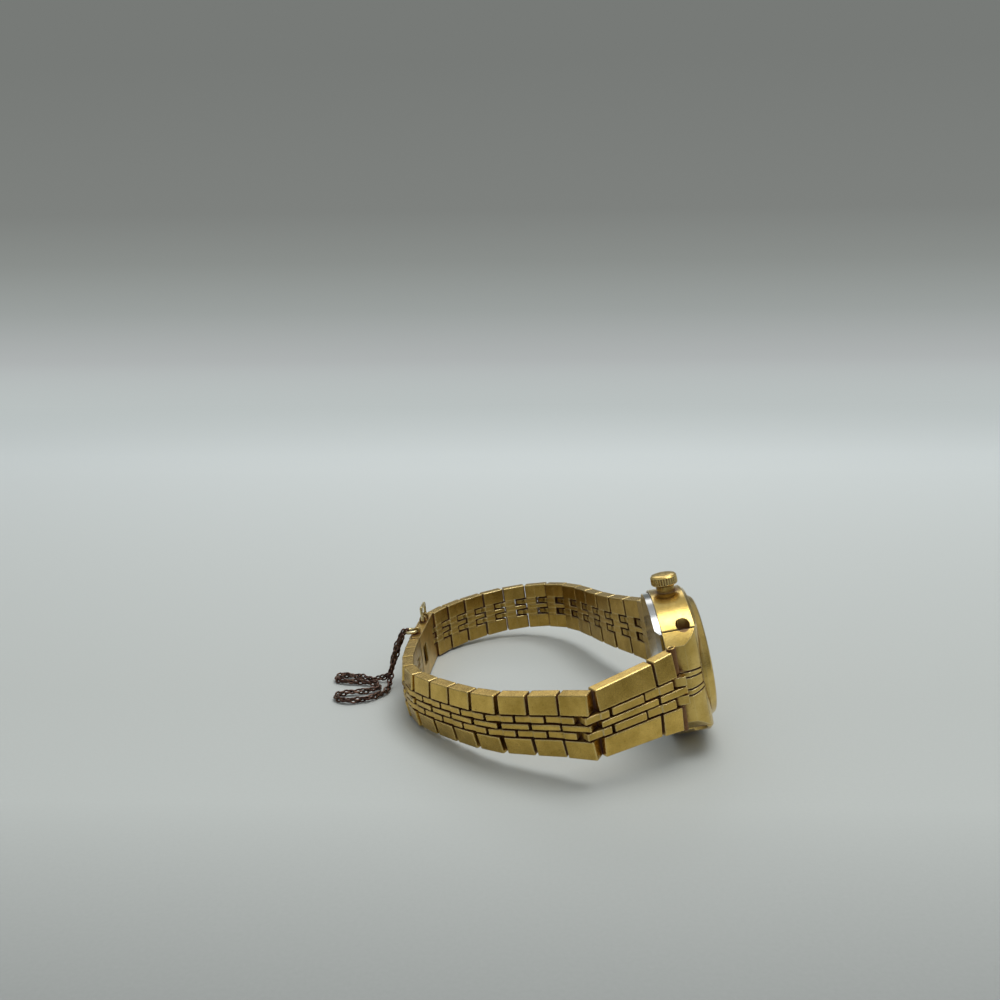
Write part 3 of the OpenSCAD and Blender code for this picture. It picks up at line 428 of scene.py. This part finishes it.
def dial_lacquer():
    """Champagne dial under clear varnish, brushed in rays from its centre, with raised gilt batons."""
    mat, tree = material("champagne sunray lacquer")
    across, up, over = along_axes(tree, LIE @ Vector((DIAL_OUT * MM, 0, 0)), (LIE_ALONG, LIE_UP, LIE_OUT))
    angle = add(tree, "ShaderNodeMath", {0: up, 1: across}, operation="ARCTAN2")

    # The brush's rays, about 0.1 mm wide at the rim, which is wider than real ones so that they show
    ray = add(tree, "ShaderNodeTexNoise", {"W": angle, "Scale": 60.0, "Detail": 4.0}, noise_dimensions="1D")
    brushed = add(tree, "ShaderNodeMapRange", {"Value": ray, "From Min": 0.35, "From Max": 0.65})
    body = add(tree, "ShaderNodeMix", {"Factor": brushed, "A": linear("#d8c48c"), "B": linear("#e6d6a4")},
               data_type="RGBA")

    # The batons: painted shade down their sides, gilt on top
    side, gilt = (
        add(tree, "ShaderNodeMapRange", {"Value": over, "From Min": low * MM, "From Max": high * MM})
        for low, high in ((BATON_SIDE, BATON_SIDE + 0.005), (BATON_TOP, BATON_TOP + 0.01)))
    body = add(tree, "ShaderNodeMix", {"Factor": side, "A": body, "B": linear("#3c2a12")}, data_type="RGBA")
    body = add(tree, "ShaderNodeMix", {"Factor": gilt, "A": body, "B": linear("#c59a45")}, data_type="RGBA")

    # Metal flakes in the lacquer, and a thin clear varnish over it
    metallic = add(tree, "ShaderNodeMapRange", {"Value": gilt, "To Min": 0.75})
    gloss = add(tree, "ShaderNodeMapRange", {"Value": ray, "From Min": 0.3, "From Max": 0.7,
                                             "To Min": 0.28, "To Max": 0.42})
    shader = add(tree, "ShaderNodeBsdfPrincipled", {
        "Base Color": body, "Metallic": metallic, "Roughness": gloss, "Coat Weight": 0.6,
        "Coat Roughness": 0.04})
    add(tree, "ShaderNodeOutputMaterial", {"Surface": shader})
    return mat


# Gold plate on pressed brass bricks, brushed to a satin: broad warm gleams, pale edges with painted
# highlights, brown seams of dirt and painted shade, and painted shade on the inner faces
satin_gold_plate = plated("satin gold plate, worn", GOLD, CHAMPAGNE, 0.19, inner=0.4)

# Gold plate on the turned case, polished: sharper glints than the bricks have, and dark holes in the
# lugs, with dirt and painted shade in them
case_gold_plate = plated("polished gold plate, worn", "#e0c070", "#c8a858", 0.15, reach=1.3, bump=0.12,
                         soil=0.9, lug_holes=True)

# The same plate on the crown: a bright cap, with dirt and painted shade between the ribs of its grip
crown_gold_plate = plated("polished gold crown", "#e0c070", "#c8a858", 0.17, reach=0.5, bump=0.12, soil=0.9)

# Gold plate on folded sheet, dulled against the wrist: wide soft gleams, and dirt with painted shade in
# its corners
clasp_gold_plate = plated("pressed gold plate, dulled", "#d6b262", "#b99a50", 0.3, reach=1.0)

# Gold-plated wire, drawn through a die: thin pale highlights along it, and little dirt and painted shade
gold_wire = plated("gold-plated drawn wire", "#e8d8a4", "#c4b07a", 0.22, edge=0.02, soil=0.5)

# Brass wire gone dark with age: purple-brown links, almost black with dirt and painted shade where they
# cross, with small glints
tarnished_chain = plated("oxidised chain wire", "#4a312d", "#6e564a", 0.26, reach=0.4, edge=0.02, bump=0.2,
                         dirt_and_shade_colour="#180d0b")

# Gilt brass plates and wheels with a fine grain: an even pale gold, softly lit
gilt_brass = bare_metal("gilt movement brass, grained", "#d9bd7a", "#cdb070", 0.28)

# Steel parts from the grinder: cool grey with a soft gleam
ground_steel = bare_metal("ground steel", "#b9bab8", "#a8a9a8", 0.25)

# The steel back, polished: the brightest and coolest face, in which the bracelet shows
polished_steel = bare_metal("polished steel back", "#c6c6c4", "#c1c1bf", 0.16, grain_size=0.05, bump=0.08)

# Hands stamped and gilt, then polished: thin bright gold over the dial
polished_gilt = bare_metal("polished gilt hands", "#ecd08a", "#e2c47c", 0.14, grain_size=0.05, bump=0.06)

# Steel blued by heat: deep blue with a metal gleam
blued_steel = bare_metal("heat-blued steel", "#28407c", "#1f3266", 0.22)

# The finish for each material slot of the record
FINISH = {
    "gold_case": case_gold_plate, "gold_bracelet": satin_gold_plate, "gold_clasp": clasp_gold_plate,
    "gold_wire": gold_wire, "gold_crown": crown_gold_plate, "gold_hands": polished_gilt,
    "crystal": acrylic_crystal(), "dial": dial_lacquer(), "steel_back": polished_steel,
    "steel_parts": ground_steel, "blued_steel": blued_steel, "movement_brass": gilt_brass,
    "seal": soft_rubber(), "chain": tarnished_chain,
}
for part in frame["record"]["subparts"]:
    obj = frame["nodes"][part["node"]]
    obj.data.materials.clear()
    obj.data.materials.append(FINISH[part["material_slot"]])

make_chain(tarnished_chain)


# Bracelet bricks
# Sizes in millimetres and bends in degrees, as in the part's source. A brick runs from its own pin to the
# next: its middle and side columns stop short of that pin, and its two arms reach over it.
# Pitch of the links, lengths of the first two bricks, and the case's pins from the watch's middle
PITCH, BRICK_A, BRICK_B, HINGE_Y = 4.4, 4.8, 9.3, 12

# Width at the clasp, its flare towards the case, the run of that flare, and where it starts before the pin
CLASP_W, FLARE_W, FLARE_RUN, FLARE_HELD = 8, 3.1, 12.5, 2

# Outer and inner faces from the pins' plane, and how far the outer face falls to the rim
LINK_OUT, LINK_IN, CROWN_DROP = 1.35, 0.8, 0.4

# A brick's start before its pin, the gap to the next brick or, on the last one, to the next pin, the pin's
# radius, and the width of a groove
PIN_IN, BRICK_GAP, LAST_GAP, PIN_R, GROOVE_W = 0.75, 0.35, 0.7, 0.33, 0.2

# Edges of the middle column and of the arms as shares of the width, and the floor of the grooves
COL_MID, COL_ARM, GROOVE_FLOOR = 0.045, 0.175, 0.1

# Arms: their round tip past the pin, their start, their flat end past the pin, and their underside
ARM_TIP = 1.2
ARM_START, ARM_FLAT, ARM_UNDER = ARM_TIP + 0.2, ARM_TIP - 0.05, LINK_IN - 0.05

# The seam across the arms of the second brick: its width, and its place before the next pin
SPLIT_GAP, SPLIT_BACK = 0.45, 2.9

# The first brick's side columns start this far past its pin, and the pin's barrel has this radius
STEP_AT, KNUCKLE_R = 0.6, 0.62

# Each brick's bend inwards and its twist, from the case to the clasp, on the near and on the far half
NEAR_BEND = [61, 0, 55.5, -3.5, 2.5, 12.5, 7.5, 3, 5, 14, 15, 6, 3]
NEAR_TWIST = [1.2, 1.2, 0.8, 0.3, 0, -0.6, -0.9, -0.8, -0.8, -0.7, -0.6, -0.6, 0]
FAR_BEND = [16.5, 13.5, 0.5, -4.5, -3, 2, 10, 20.5, 24, 22.5, 17.5, 10.5, 10, 11.5]
FAR_TWIST = [-0.2, 0, 0.4, 0.8, 1.1, 1.1, 0.7, 0.2, -0.4, -0.5, -0.6, -0.6, -0.5, -0.2]
NEAR_NAMES = ["brick_a", "brick_b"] + [f"link_n{i}" for i in range(1, 12)]
FAR_NAMES = [f"link_f{i}" for i in range(1, 15)]
NEAR_LENGTHS = [BRICK_A, BRICK_B] + [PITCH] * 11

# Of this script alone, in millimetres: the width of the eased edges, the overlaps of the pieces of a brick,
# how far the arms' bars reach back into it, how far the pin's ends stand back from the edges, and how far
# the barrel stands out past an edge
EASE, OVERLAP, HAIR, ARM_ROOT, PIN_SHORT, KNUCKLE_PROUD = 0.15, 0.05, 0.01, 0.3, 0.6, 0.3

# Half width of the web under the grooves as a share of the width, and depth of the barrel's bore as a share
# of its length
WEB_SHARE, BORE_DEPTH = 0.49, 0.2
ROUND_SIDES = 28

# A height in metres that lies below every brick, for columns whose underside isn't cut
NO_CUT = -1.0


def band_width(s):
    """Width of the band at a run from its first pin: flared to the case, narrow at the clasp."""
    return CLASP_W + FLARE_W * math.exp(-max(s, -FLARE_HELD) / FLARE_RUN)


def brick_frames(start, bends, twists, lengths):
    """Each brick's frame: near pin at the origin, x along the band, y outwards."""
    frames, at = [], start
    for i, (bend, twist) in enumerate(zip(bends, twists)):
        if i:
            at = at @ Matrix.Translation((lengths[i - 1] * MM, 0, 0))
        at = (at @ Matrix.Rotation(math.radians(-bend), 4, "Z")
              @ Matrix.Rotation(math.radians(twist), 4, "X"))
        frames.append(at)
    return frames


def column_tree():
    """One column of a brick: a unit shape stretched between tapering edges, its top falling to the rim."""
    tree, given = node_group("brick column", "Column", ["Shape"], [
        "Start", "End", "Low", "High", "Inner share", "Inner gap", "Outer share", "Outer gap", "Near width",
        "Far width", "Run start", "Run end", "Crown slope", "Crown from", "Cut low"])
    here = add(tree, "GeometryNodeInputPosition")
    unit = add(tree, "ShaderNodeSeparateXYZ", {0: here}).outputs
    x, y = (
        add(tree, "ShaderNodeMapRange", {"Value": unit[axis], "To Min": given[low], "To Max": given[high]},
            clamp=False)
        for axis, low, high in (("X", "Start", "End"), ("Y", "Low", "High")))
    width = add(tree, "ShaderNodeMapRange", {
        "Value": x, "From Min": given["Run start"], "From Max": given["Run end"],
        "To Min": given["Near width"], "To Max": given["Far width"]}, clamp=False)
    inner, outer = (
        add(tree, "ShaderNodeMath", {0: width, 1: given[edge + " share"], 2: given[edge + " gap"]},
            operation="MULTIPLY_ADD")
        for edge in ("Inner", "Outer"))
    z = add(tree, "ShaderNodeMapRange", {"Value": unit["Z"], "To Min": inner, "To Max": outer}, clamp=False)
    beyond = add(tree, "ShaderNodeMath", {0: z, 1: given["Crown from"]}, operation="SUBTRACT")
    past = add(tree, "ShaderNodeMath", {0: beyond, 1: 0.0}, operation="MAXIMUM")
    fall = add(tree, "ShaderNodeMath", {0: past, 1: given["Crown slope"]}, operation="MULTIPLY")
    drop = add(tree, "ShaderNodeMath", {0: fall, 1: unit["Y"]}, operation="MULTIPLY")
    lowered = add(tree, "ShaderNodeMath", {0: y, 1: drop}, operation="SUBTRACT")
    cut = add(tree, "ShaderNodeMath", {0: lowered, 1: given["Cut low"]}, operation="MAXIMUM")
    place = add(tree, "ShaderNodeCombineXYZ", {"X": x, "Y": cut, "Z": z})
    moved = add(tree, "GeometryNodeSetPosition", {"Geometry": given["Shape"], "Position": place})
    add(tree, "NodeGroupOutput", {"Column": moved})
    return tree


def barrel_tree():
    """The unit shape of the first brick's pin barrel: a round bar with a bore in its outer end, marked for
    dirt and painted shade.
    """
    tree, _ = node_group("pin barrel", "Barrel")
    hub = add(tree, "GeometryNodeMeshCylinder", {"Vertices": ROUND_SIDES, "Radius": 0.5, "Depth": 1.0})
    rim = add(tree, "GeometryNodeExtrudeMesh", {"Mesh": hub, "Selection": hub.outputs["Top"],
                                                "Offset Scale": 0.0}, mode="FACES")
    soiled = add(tree, "GeometryNodeStoreNamedAttribute",
                 {"Geometry": rim, "Selection": hub.outputs["Side"], "Name": "soiled", "Value": 1.0},
                 data_type="FLOAT", domain="FACE")
    mouth = add(tree, "GeometryNodeScaleElements", {"Geometry": soiled, "Selection": rim.outputs["Top"],
                                                    "Scale": PIN_R / KNUCKLE_R})
    bored = add(tree, "GeometryNodeExtrudeMesh", {"Mesh": mouth, "Selection": rim.outputs["Top"],
                                                  "Offset Scale": -BORE_DEPTH}, mode="FACES")
    add(tree, "NodeGroupOutput", {"Barrel": bored})
    return tree


def brick_tree(mat):
    """A bracelet brick: two side columns, a middle one, and two arms that reach over the next pin."""
    column_group = column_tree()
    tree, given = node_group("bracelet brick", "Brick", sizes=[
        "Length", "Tail", "Split", "Near width", "Far width", "Groove", "Pin radius", "Arm tip",
        "Square reach", "Side start"], switches=["Armed"])
    low, high, start = -LINK_IN * MM, LINK_OUT * MM, -PIN_IN * MM
    groove, tail = given["Groove"], given["Tail"]

    # Unit shapes with one corner at the origin
    shapes = [
        add(tree, "GeometryNodeMeshCube", {"Size": (1, 1, 1)}),
        add(tree, "GeometryNodeMeshCylinder", {"Vertices": ROUND_SIDES, "Radius": 0.5, "Depth": 1.0}),
        add(tree, "GeometryNodeGroup", node_tree=barrel_tree()),
    ]
    block, round_bar, barrel = (
        add(tree, "GeometryNodeTransform", {"Geometry": shape, "Translation": (0.5, 0.5, 0.5)})
        for shape in shapes)

    # Lengths that follow from the inputs
    run_end, square_end = (
        add(tree, "ShaderNodeMath", {0: given["Length"], 1: given[more]}, operation="ADD")
        for more in ("Arm tip", "Square reach"))
    back_tip = add(tree, "ShaderNodeMath", {0: given["Length"], 1: given["Arm tip"]}, operation="SUBTRACT")
    past_split = add(tree, "ShaderNodeMath", {0: given["Split"], 1: SPLIT_GAP * MM}, operation="ADD")
    arm_root = add(tree, "ShaderNodeMath", {0: tail, 1: ARM_ROOT * MM}, operation="SUBTRACT")
    web_end = add(tree, "ShaderNodeMath", {0: tail, 1: 2 * HAIR * MM}, operation="SUBTRACT")
    side_in = add(tree, "ShaderNodeMath", {0: given["Near width"], 1: COL_ARM, 2: groove},
                  operation="MULTIPLY_ADD")
    half = add(tree, "ShaderNodeMath", {0: given["Near width"], 1: 0.5}, operation="MULTIPLY")
    side_width = add(tree, "ShaderNodeMath", {0: half, 1: side_in}, operation="SUBTRACT")
    slope = add(tree, "ShaderNodeMath", {0: CROWN_DROP * MM, 1: side_width}, operation="DIVIDE")
    radius = given["Pin radius"]
    back_radius = add(tree, "ShaderNodeMath", {0: radius, 1: -1.0}, operation="MULTIPLY")

    def column(shape, run, heights, inner, outer, slope=0.0, cut=NO_CUT):
        """A unit shape stretched over a run and a height, each edge at a share of the width and a gap."""
        return add(tree, "GeometryNodeGroup", {
            "Shape": shape, "Start": run[0], "End": run[1], "Low": heights[0], "High": heights[1],
            "Inner share": inner[0], "Inner gap": inner[1], "Outer share": outer[0], "Outer gap": outer[1],
            "Crown slope": slope, "Cut low": cut, "Near width": given["Near width"],
            "Far width": given["Far width"], "Run start": start, "Run end": run_end, "Crown from": side_in,
        }, node_tree=column_group)

    # The side column, and under its stepped end on the first brick, a foot and the barrel of the pin
    side_edges = (COL_ARM, groove), (0.5, 0.0)
    side = column(block, (given["Side start"], tail), (low, high), *side_edges, slope=slope)
    foot = column(block, (start, (STEP_AT + OVERLAP) * MM), (low, 0.0), *side_edges)
    around_pin = (-KNUCKLE_R * MM, KNUCKLE_R * MM)
    barrel = column(barrel, around_pin, around_pin, (COL_ARM, groove), (0.5, KNUCKLE_PROUD * MM))
    knuckle = add(tree, "GeometryNodeJoinGeometry", {0: [foot, barrel]})
    stepped = add(tree, "FunctionNodeCompare", {0: given["Side start"], 1: 0.0}, operation="GREATER_THAN")
    knuckle = add(tree, "GeometryNodeSwitch", {"Switch": stepped, "True": knuckle})

    # The arm column, split where a seam crosses it, and its round nose over the next pin
    arm_edges = (COL_MID, groove), (COL_ARM, 0.0)
    arm_body = column(block, (ARM_START * MM, given["Split"]), (low, high), *arm_edges)
    arm_rest = column(block, (past_split, tail), (low, high), *arm_edges)
    has_rest = add(tree, "FunctionNodeCompare", {0: tail, 1: past_split}, operation="GREATER_THAN")
    arm_rest = add(tree, "GeometryNodeSwitch", {"Switch": has_rest, "True": arm_rest})
    bar = column(block, (arm_root, square_end), (0.0, ARM_TIP * MM), *arm_edges)
    under = column(block, (arm_root, given["Length"]), (-ARM_UNDER * MM, OVERLAP * MM), *arm_edges)
    nose = column(round_bar, (back_tip, run_end), (-ARM_TIP * MM, ARM_TIP * MM), *arm_edges,
                  cut=-ARM_UNDER * MM)
    reach = add(tree, "GeometryNodeJoinGeometry", {0: [bar, under, nose]})
    reach = add(tree, "GeometryNodeSwitch", {"Switch": given["Armed"], "True": reach})
    arm = add(tree, "GeometryNodeJoinGeometry", {0: [arm_body, arm_rest, reach]})
    arm = add(tree, "GeometryNodeStoreNamedAttribute", {"Geometry": arm, "Name": "arm", "Value": 1.0},
              data_type="FLOAT", domain="POINT")

    # Both halves, the middle column, the web under the grooves and the pin
    one_half = add(tree, "GeometryNodeJoinGeometry", {0: [side, knuckle, arm]})
    mirrored = add(tree, "GeometryNodeTransform", {"Geometry": one_half, "Scale": (1, 1, -1)})
    other_half = add(tree, "GeometryNodeFlipFaces", {"Mesh": mirrored})
    middle = column(block, (start, tail), (low, high), (-COL_MID, 0.0), (COL_MID, 0.0))
    web = column(block, (ARM_START * MM, web_end), (low + HAIR * MM, GROOVE_FLOOR * MM),
                 (-WEB_SHARE, 0.0), (WEB_SHARE, 0.0))
    pin = column(round_bar, (back_radius, radius), (back_radius, radius),
                 (-0.5, PIN_SHORT * MM), (0.5, -PIN_SHORT * MM))
    whole = add(tree, "GeometryNodeJoinGeometry", {0: [one_half, other_half, middle, web, pin]})
    solid = add(tree, "GeometryNodeRealizeInstances", {"Geometry": whole})
    place = add(tree, "GeometryNodeInputPosition")
    marked = add(tree, "GeometryNodeStoreNamedAttribute",
                 {"Geometry": solid, "Name": "brick place", "Value": place},
                 data_type="FLOAT_VECTOR", domain="POINT")
    coated = add(tree, "GeometryNodeSetMaterial", {"Geometry": marked, "Material": mat})
    add(tree, "NodeGroupOutput", {"Brick": coated})
    return tree


def make_brick(name, tree, at, along, length, armed=True, split=None, square=True, step=False):
    """One brick, made in its own frame and then set in its place on the band. An armed one reaches over
    the next pin, and its arms end square above it or round. Split is where a seam crosses the arms, and a
    stepped one has side columns that start past the barrel of its pin."""
    tail = length - (PIN_IN + BRICK_GAP if armed else LAST_GAP)
    sizes = {
        "Length": length, "Tail": tail, "Split": split or tail, "Near width": band_width(along - PIN_IN),
        "Far width": band_width(along + length + ARM_TIP), "Groove": GROOVE_W, "Pin radius": PIN_R,
        "Arm tip": ARM_TIP, "Square reach": ARM_FLAT if square else 0,
        "Side start": STEP_AT if step else -PIN_IN,
    }
    values = {label: float(size * MM) for label, size in sizes.items()}
    obj = grown(name + "_brick", tree, bpy.data.meshes.new(name), {**values, "Armed": armed},
                ease=EASE * MM)
    obj.data.transform(at)
    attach(obj, name)
    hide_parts(name)


def make_band(mat):
    """All bricks of both halves, from the case to the clasp."""
    tree = brick_tree(mat)
    near_start = (LIE @ Matrix.Translation((0, -HINGE_Y * MM, 0))
                  @ Matrix.Rotation(math.radians(-90), 4, "Z"))
    far_start = (LIE @ Matrix.Translation((0, HINGE_Y * MM, 0)) @ Matrix.Rotation(math.radians(90), 4, "Z")
                 @ Matrix.Rotation(math.radians(180), 4, "X"))
    near = brick_frames(near_start, NEAR_BEND, [-t for t in NEAR_TWIST], NEAR_LENGTHS)
    far = brick_frames(far_start, FAR_BEND, FAR_TWIST, [PITCH] * len(FAR_BEND))
    along = 0
    for name, at, length in zip(NEAR_NAMES, near, NEAR_LENGTHS):
        make_brick(name, tree, at, along, length, armed=name != NEAR_NAMES[-1],
                   split=length - SPLIT_BACK if name == "brick_b" else None, step=name == "brick_a")
        along += length
    for i, (name, at) in enumerate(zip(FAR_NAMES, far)):
        make_brick(name, tree, at, i * PITCH, PITCH, square=name != FAR_NAMES[-1])


make_band(satin_gold_plate)


# Floor and light
# The sweep in metres: its near edge, the end of its level part, the radius of its turn, its height and its
# half width
SWEEP_NEAR, SWEEP_FAR, SWEEP_TURN, SWEEP_RISE, SWEEP_HALF = -0.9, 1.6, 0.9, 1.05, 3.0
TURN_STEPS = 30

# Colours of the haze over the far part, a painted glow that darkens with height, by height in metres
GLOW_COLOURS = {0.0: "#afb3b3", 0.1: "#9ba09e", 0.22: "#8a8e8b", 0.35: "#7e817e", 0.75: "#777a77"}


def white_board():
    """Matt white board: a pale grey without gloss, with painted shade that darkens it in front of the watch
    and painted light that brightens it further back. Far off it ends in a haze, a painted glow that the
    camera and the reflections see, and that lights nothing."""
    mat, tree = material("matt white board")
    place = add(tree, "ShaderNodeTexCoord").outputs["Object"]
    axes = add(tree, "ShaderNodeSeparateXYZ", {"Vector": place}).outputs
    grain = add(tree, "ShaderNodeTexNoise", {"Vector": place, "Scale": 1 / (0.5 * MM), "Detail": 2.0,
                                             "Roughness": 0.6})

    # Shares that grow from 0 to 1 between two distances behind the watch, in metres
    front, middle, distant, horizon = (
        add(tree, "ShaderNodeMapRange", {"Value": axes["Y"], "From Min": start, "From Max": end})
        for start, end in ((-0.076, -0.036), (0.0, 0.3), (0.25, 0.6), (0.5, 1.7)))
    # Painted shade in front of the watch, and painted light that brightens the board further back
    shade = add(tree, "ShaderNodeMix", {"Factor": front, "A": linear("#999c99"), "B": linear("#bfc3bf")},
                data_type="RGBA")
    shade = add(tree, "ShaderNodeMix", {"Factor": middle, "A": shade, "B": linear("#dae0df")},
                data_type="RGBA")
    flecks = add(tree, "ShaderNodeMath", {0: grain, 1: 0.06}, operation="MULTIPLY")
    shade = add(tree, "ShaderNodeMix", {"Factor": flecks, "A": shade, "B": linear("#ffffff")},
                data_type="RGBA")
    board = add(tree, "ShaderNodeBsdfPrincipled", {"Base Color": shade, "Roughness": 0.55,
                                                   "Specular IOR Level": 0.25})

    # The haze, a painted glow, and the share of it in what the camera and the reflections see
    glow_ramp = add(tree, "ShaderNodeValToRGB", {"Fac": axes["Z"]})
    stops = glow_ramp.color_ramp.elements
    stops.remove(stops[1])
    for height, code in GLOW_COLOURS.items():
        stop = stops.new(height) if height else stops[0]
        stop.color = linear(code)
    far_off = add(tree, "ShaderNodeMix", {"Factor": horizon, "A": linear("#bbc2c1"), "B": glow_ramp},
                  data_type="RGBA")
    backdrop_glow = add(tree, "ShaderNodeEmission", {"Color": far_off, "Strength": 1.0})
    ray = add(tree, "ShaderNodeLightPath").outputs
    seen = ray["Is Camera Ray"]
    for kind in ("Is Glossy Ray", "Is Transmission Ray"):
        seen = add(tree, "ShaderNodeMath", {0: seen, 1: ray[kind]}, operation="ADD", use_clamp=True)
    share = add(tree, "ShaderNodeMath", {0: seen, 1: distant}, operation="MULTIPLY")
    shader = add(tree, "ShaderNodeMixShader", {0: share, 1: board, 2: backdrop_glow})
    add(tree, "ShaderNodeOutputMaterial", {"Surface": shader})
    return mat


def make_floor():
    """A pale sweep: level under the watch, then curving up into the backdrop."""
    profile = [(SWEEP_NEAR, 0.0), (SWEEP_FAR, 0.0)]
    for k in range(1, TURN_STEPS + 1):
        a = math.pi / 2 * k / TURN_STEPS
        profile.append((SWEEP_FAR + SWEEP_TURN * math.sin(a), SWEEP_TURN * (1 - math.cos(a))))
    profile.append((SWEEP_FAR + SWEEP_TURN, SWEEP_RISE))
    verts = [(x, y, z) for y, z in profile for x in (-SWEEP_HALF, SWEEP_HALF)]
    mesh = bpy.data.meshes.new("sweep")
    mesh.from_pydata(verts, [], [(2 * i, 2 * i + 1, 2 * i + 3, 2 * i + 2) for i in range(len(profile) - 1)])
    mesh.shade_smooth()
    mesh.materials.append(white_board())
    object_from("sweep", mesh)


# Each lamp's place and size in metres, and its power in watts, and the point that they face
LAMPS = (("overhead softbox", (0.14, 0.1, 0.8), (0.6, 0.45), 3.4),
         ("far window", (-0.2, 1.9, 1.2), (1.5, 0.5), 3.2))
LAMP_AIM = Vector((0, 0, 0.01))


def make_lights():
    """Two soft lamps that face the watch, in a pale room that is brighter overhead."""
    for name, place, size, power in LAMPS:
        lamp = bpy.data.lights.new(name, "AREA")
        lamp.shape, lamp.energy = "RECTANGLE", power
        lamp.size, lamp.size_y = size
        facing = (LAMP_AIM - Vector(place)).to_track_quat("-Z", "Y").to_matrix().to_4x4()
        object_from(name, lamp).matrix_world = Matrix.Translation(place) @ facing
    world = bpy.data.worlds.new("pale room")
    world.use_nodes = True
    tree = world.node_tree
    tree.nodes.clear()
    way = add(tree, "ShaderNodeTexCoord").outputs["Generated"]
    height = add(tree, "ShaderNodeSeparateXYZ", {"Vector": way}).outputs["Z"]
    upwards = add(tree, "ShaderNodeMapRange", {"Value": height, "From Min": -0.1, "From Max": 0.9})
    sky = add(tree, "ShaderNodeMix", {"Factor": upwards, "A": linear("#737574"), "B": linear("#e6eaec")},
              data_type="RGBA")
    back = add(tree, "ShaderNodeBackground", {"Color": sky, "Strength": 0.71})
    add(tree, "ShaderNodeOutputWorld", {"Surface": back})
    scene.world = world


make_floor()
make_lights()
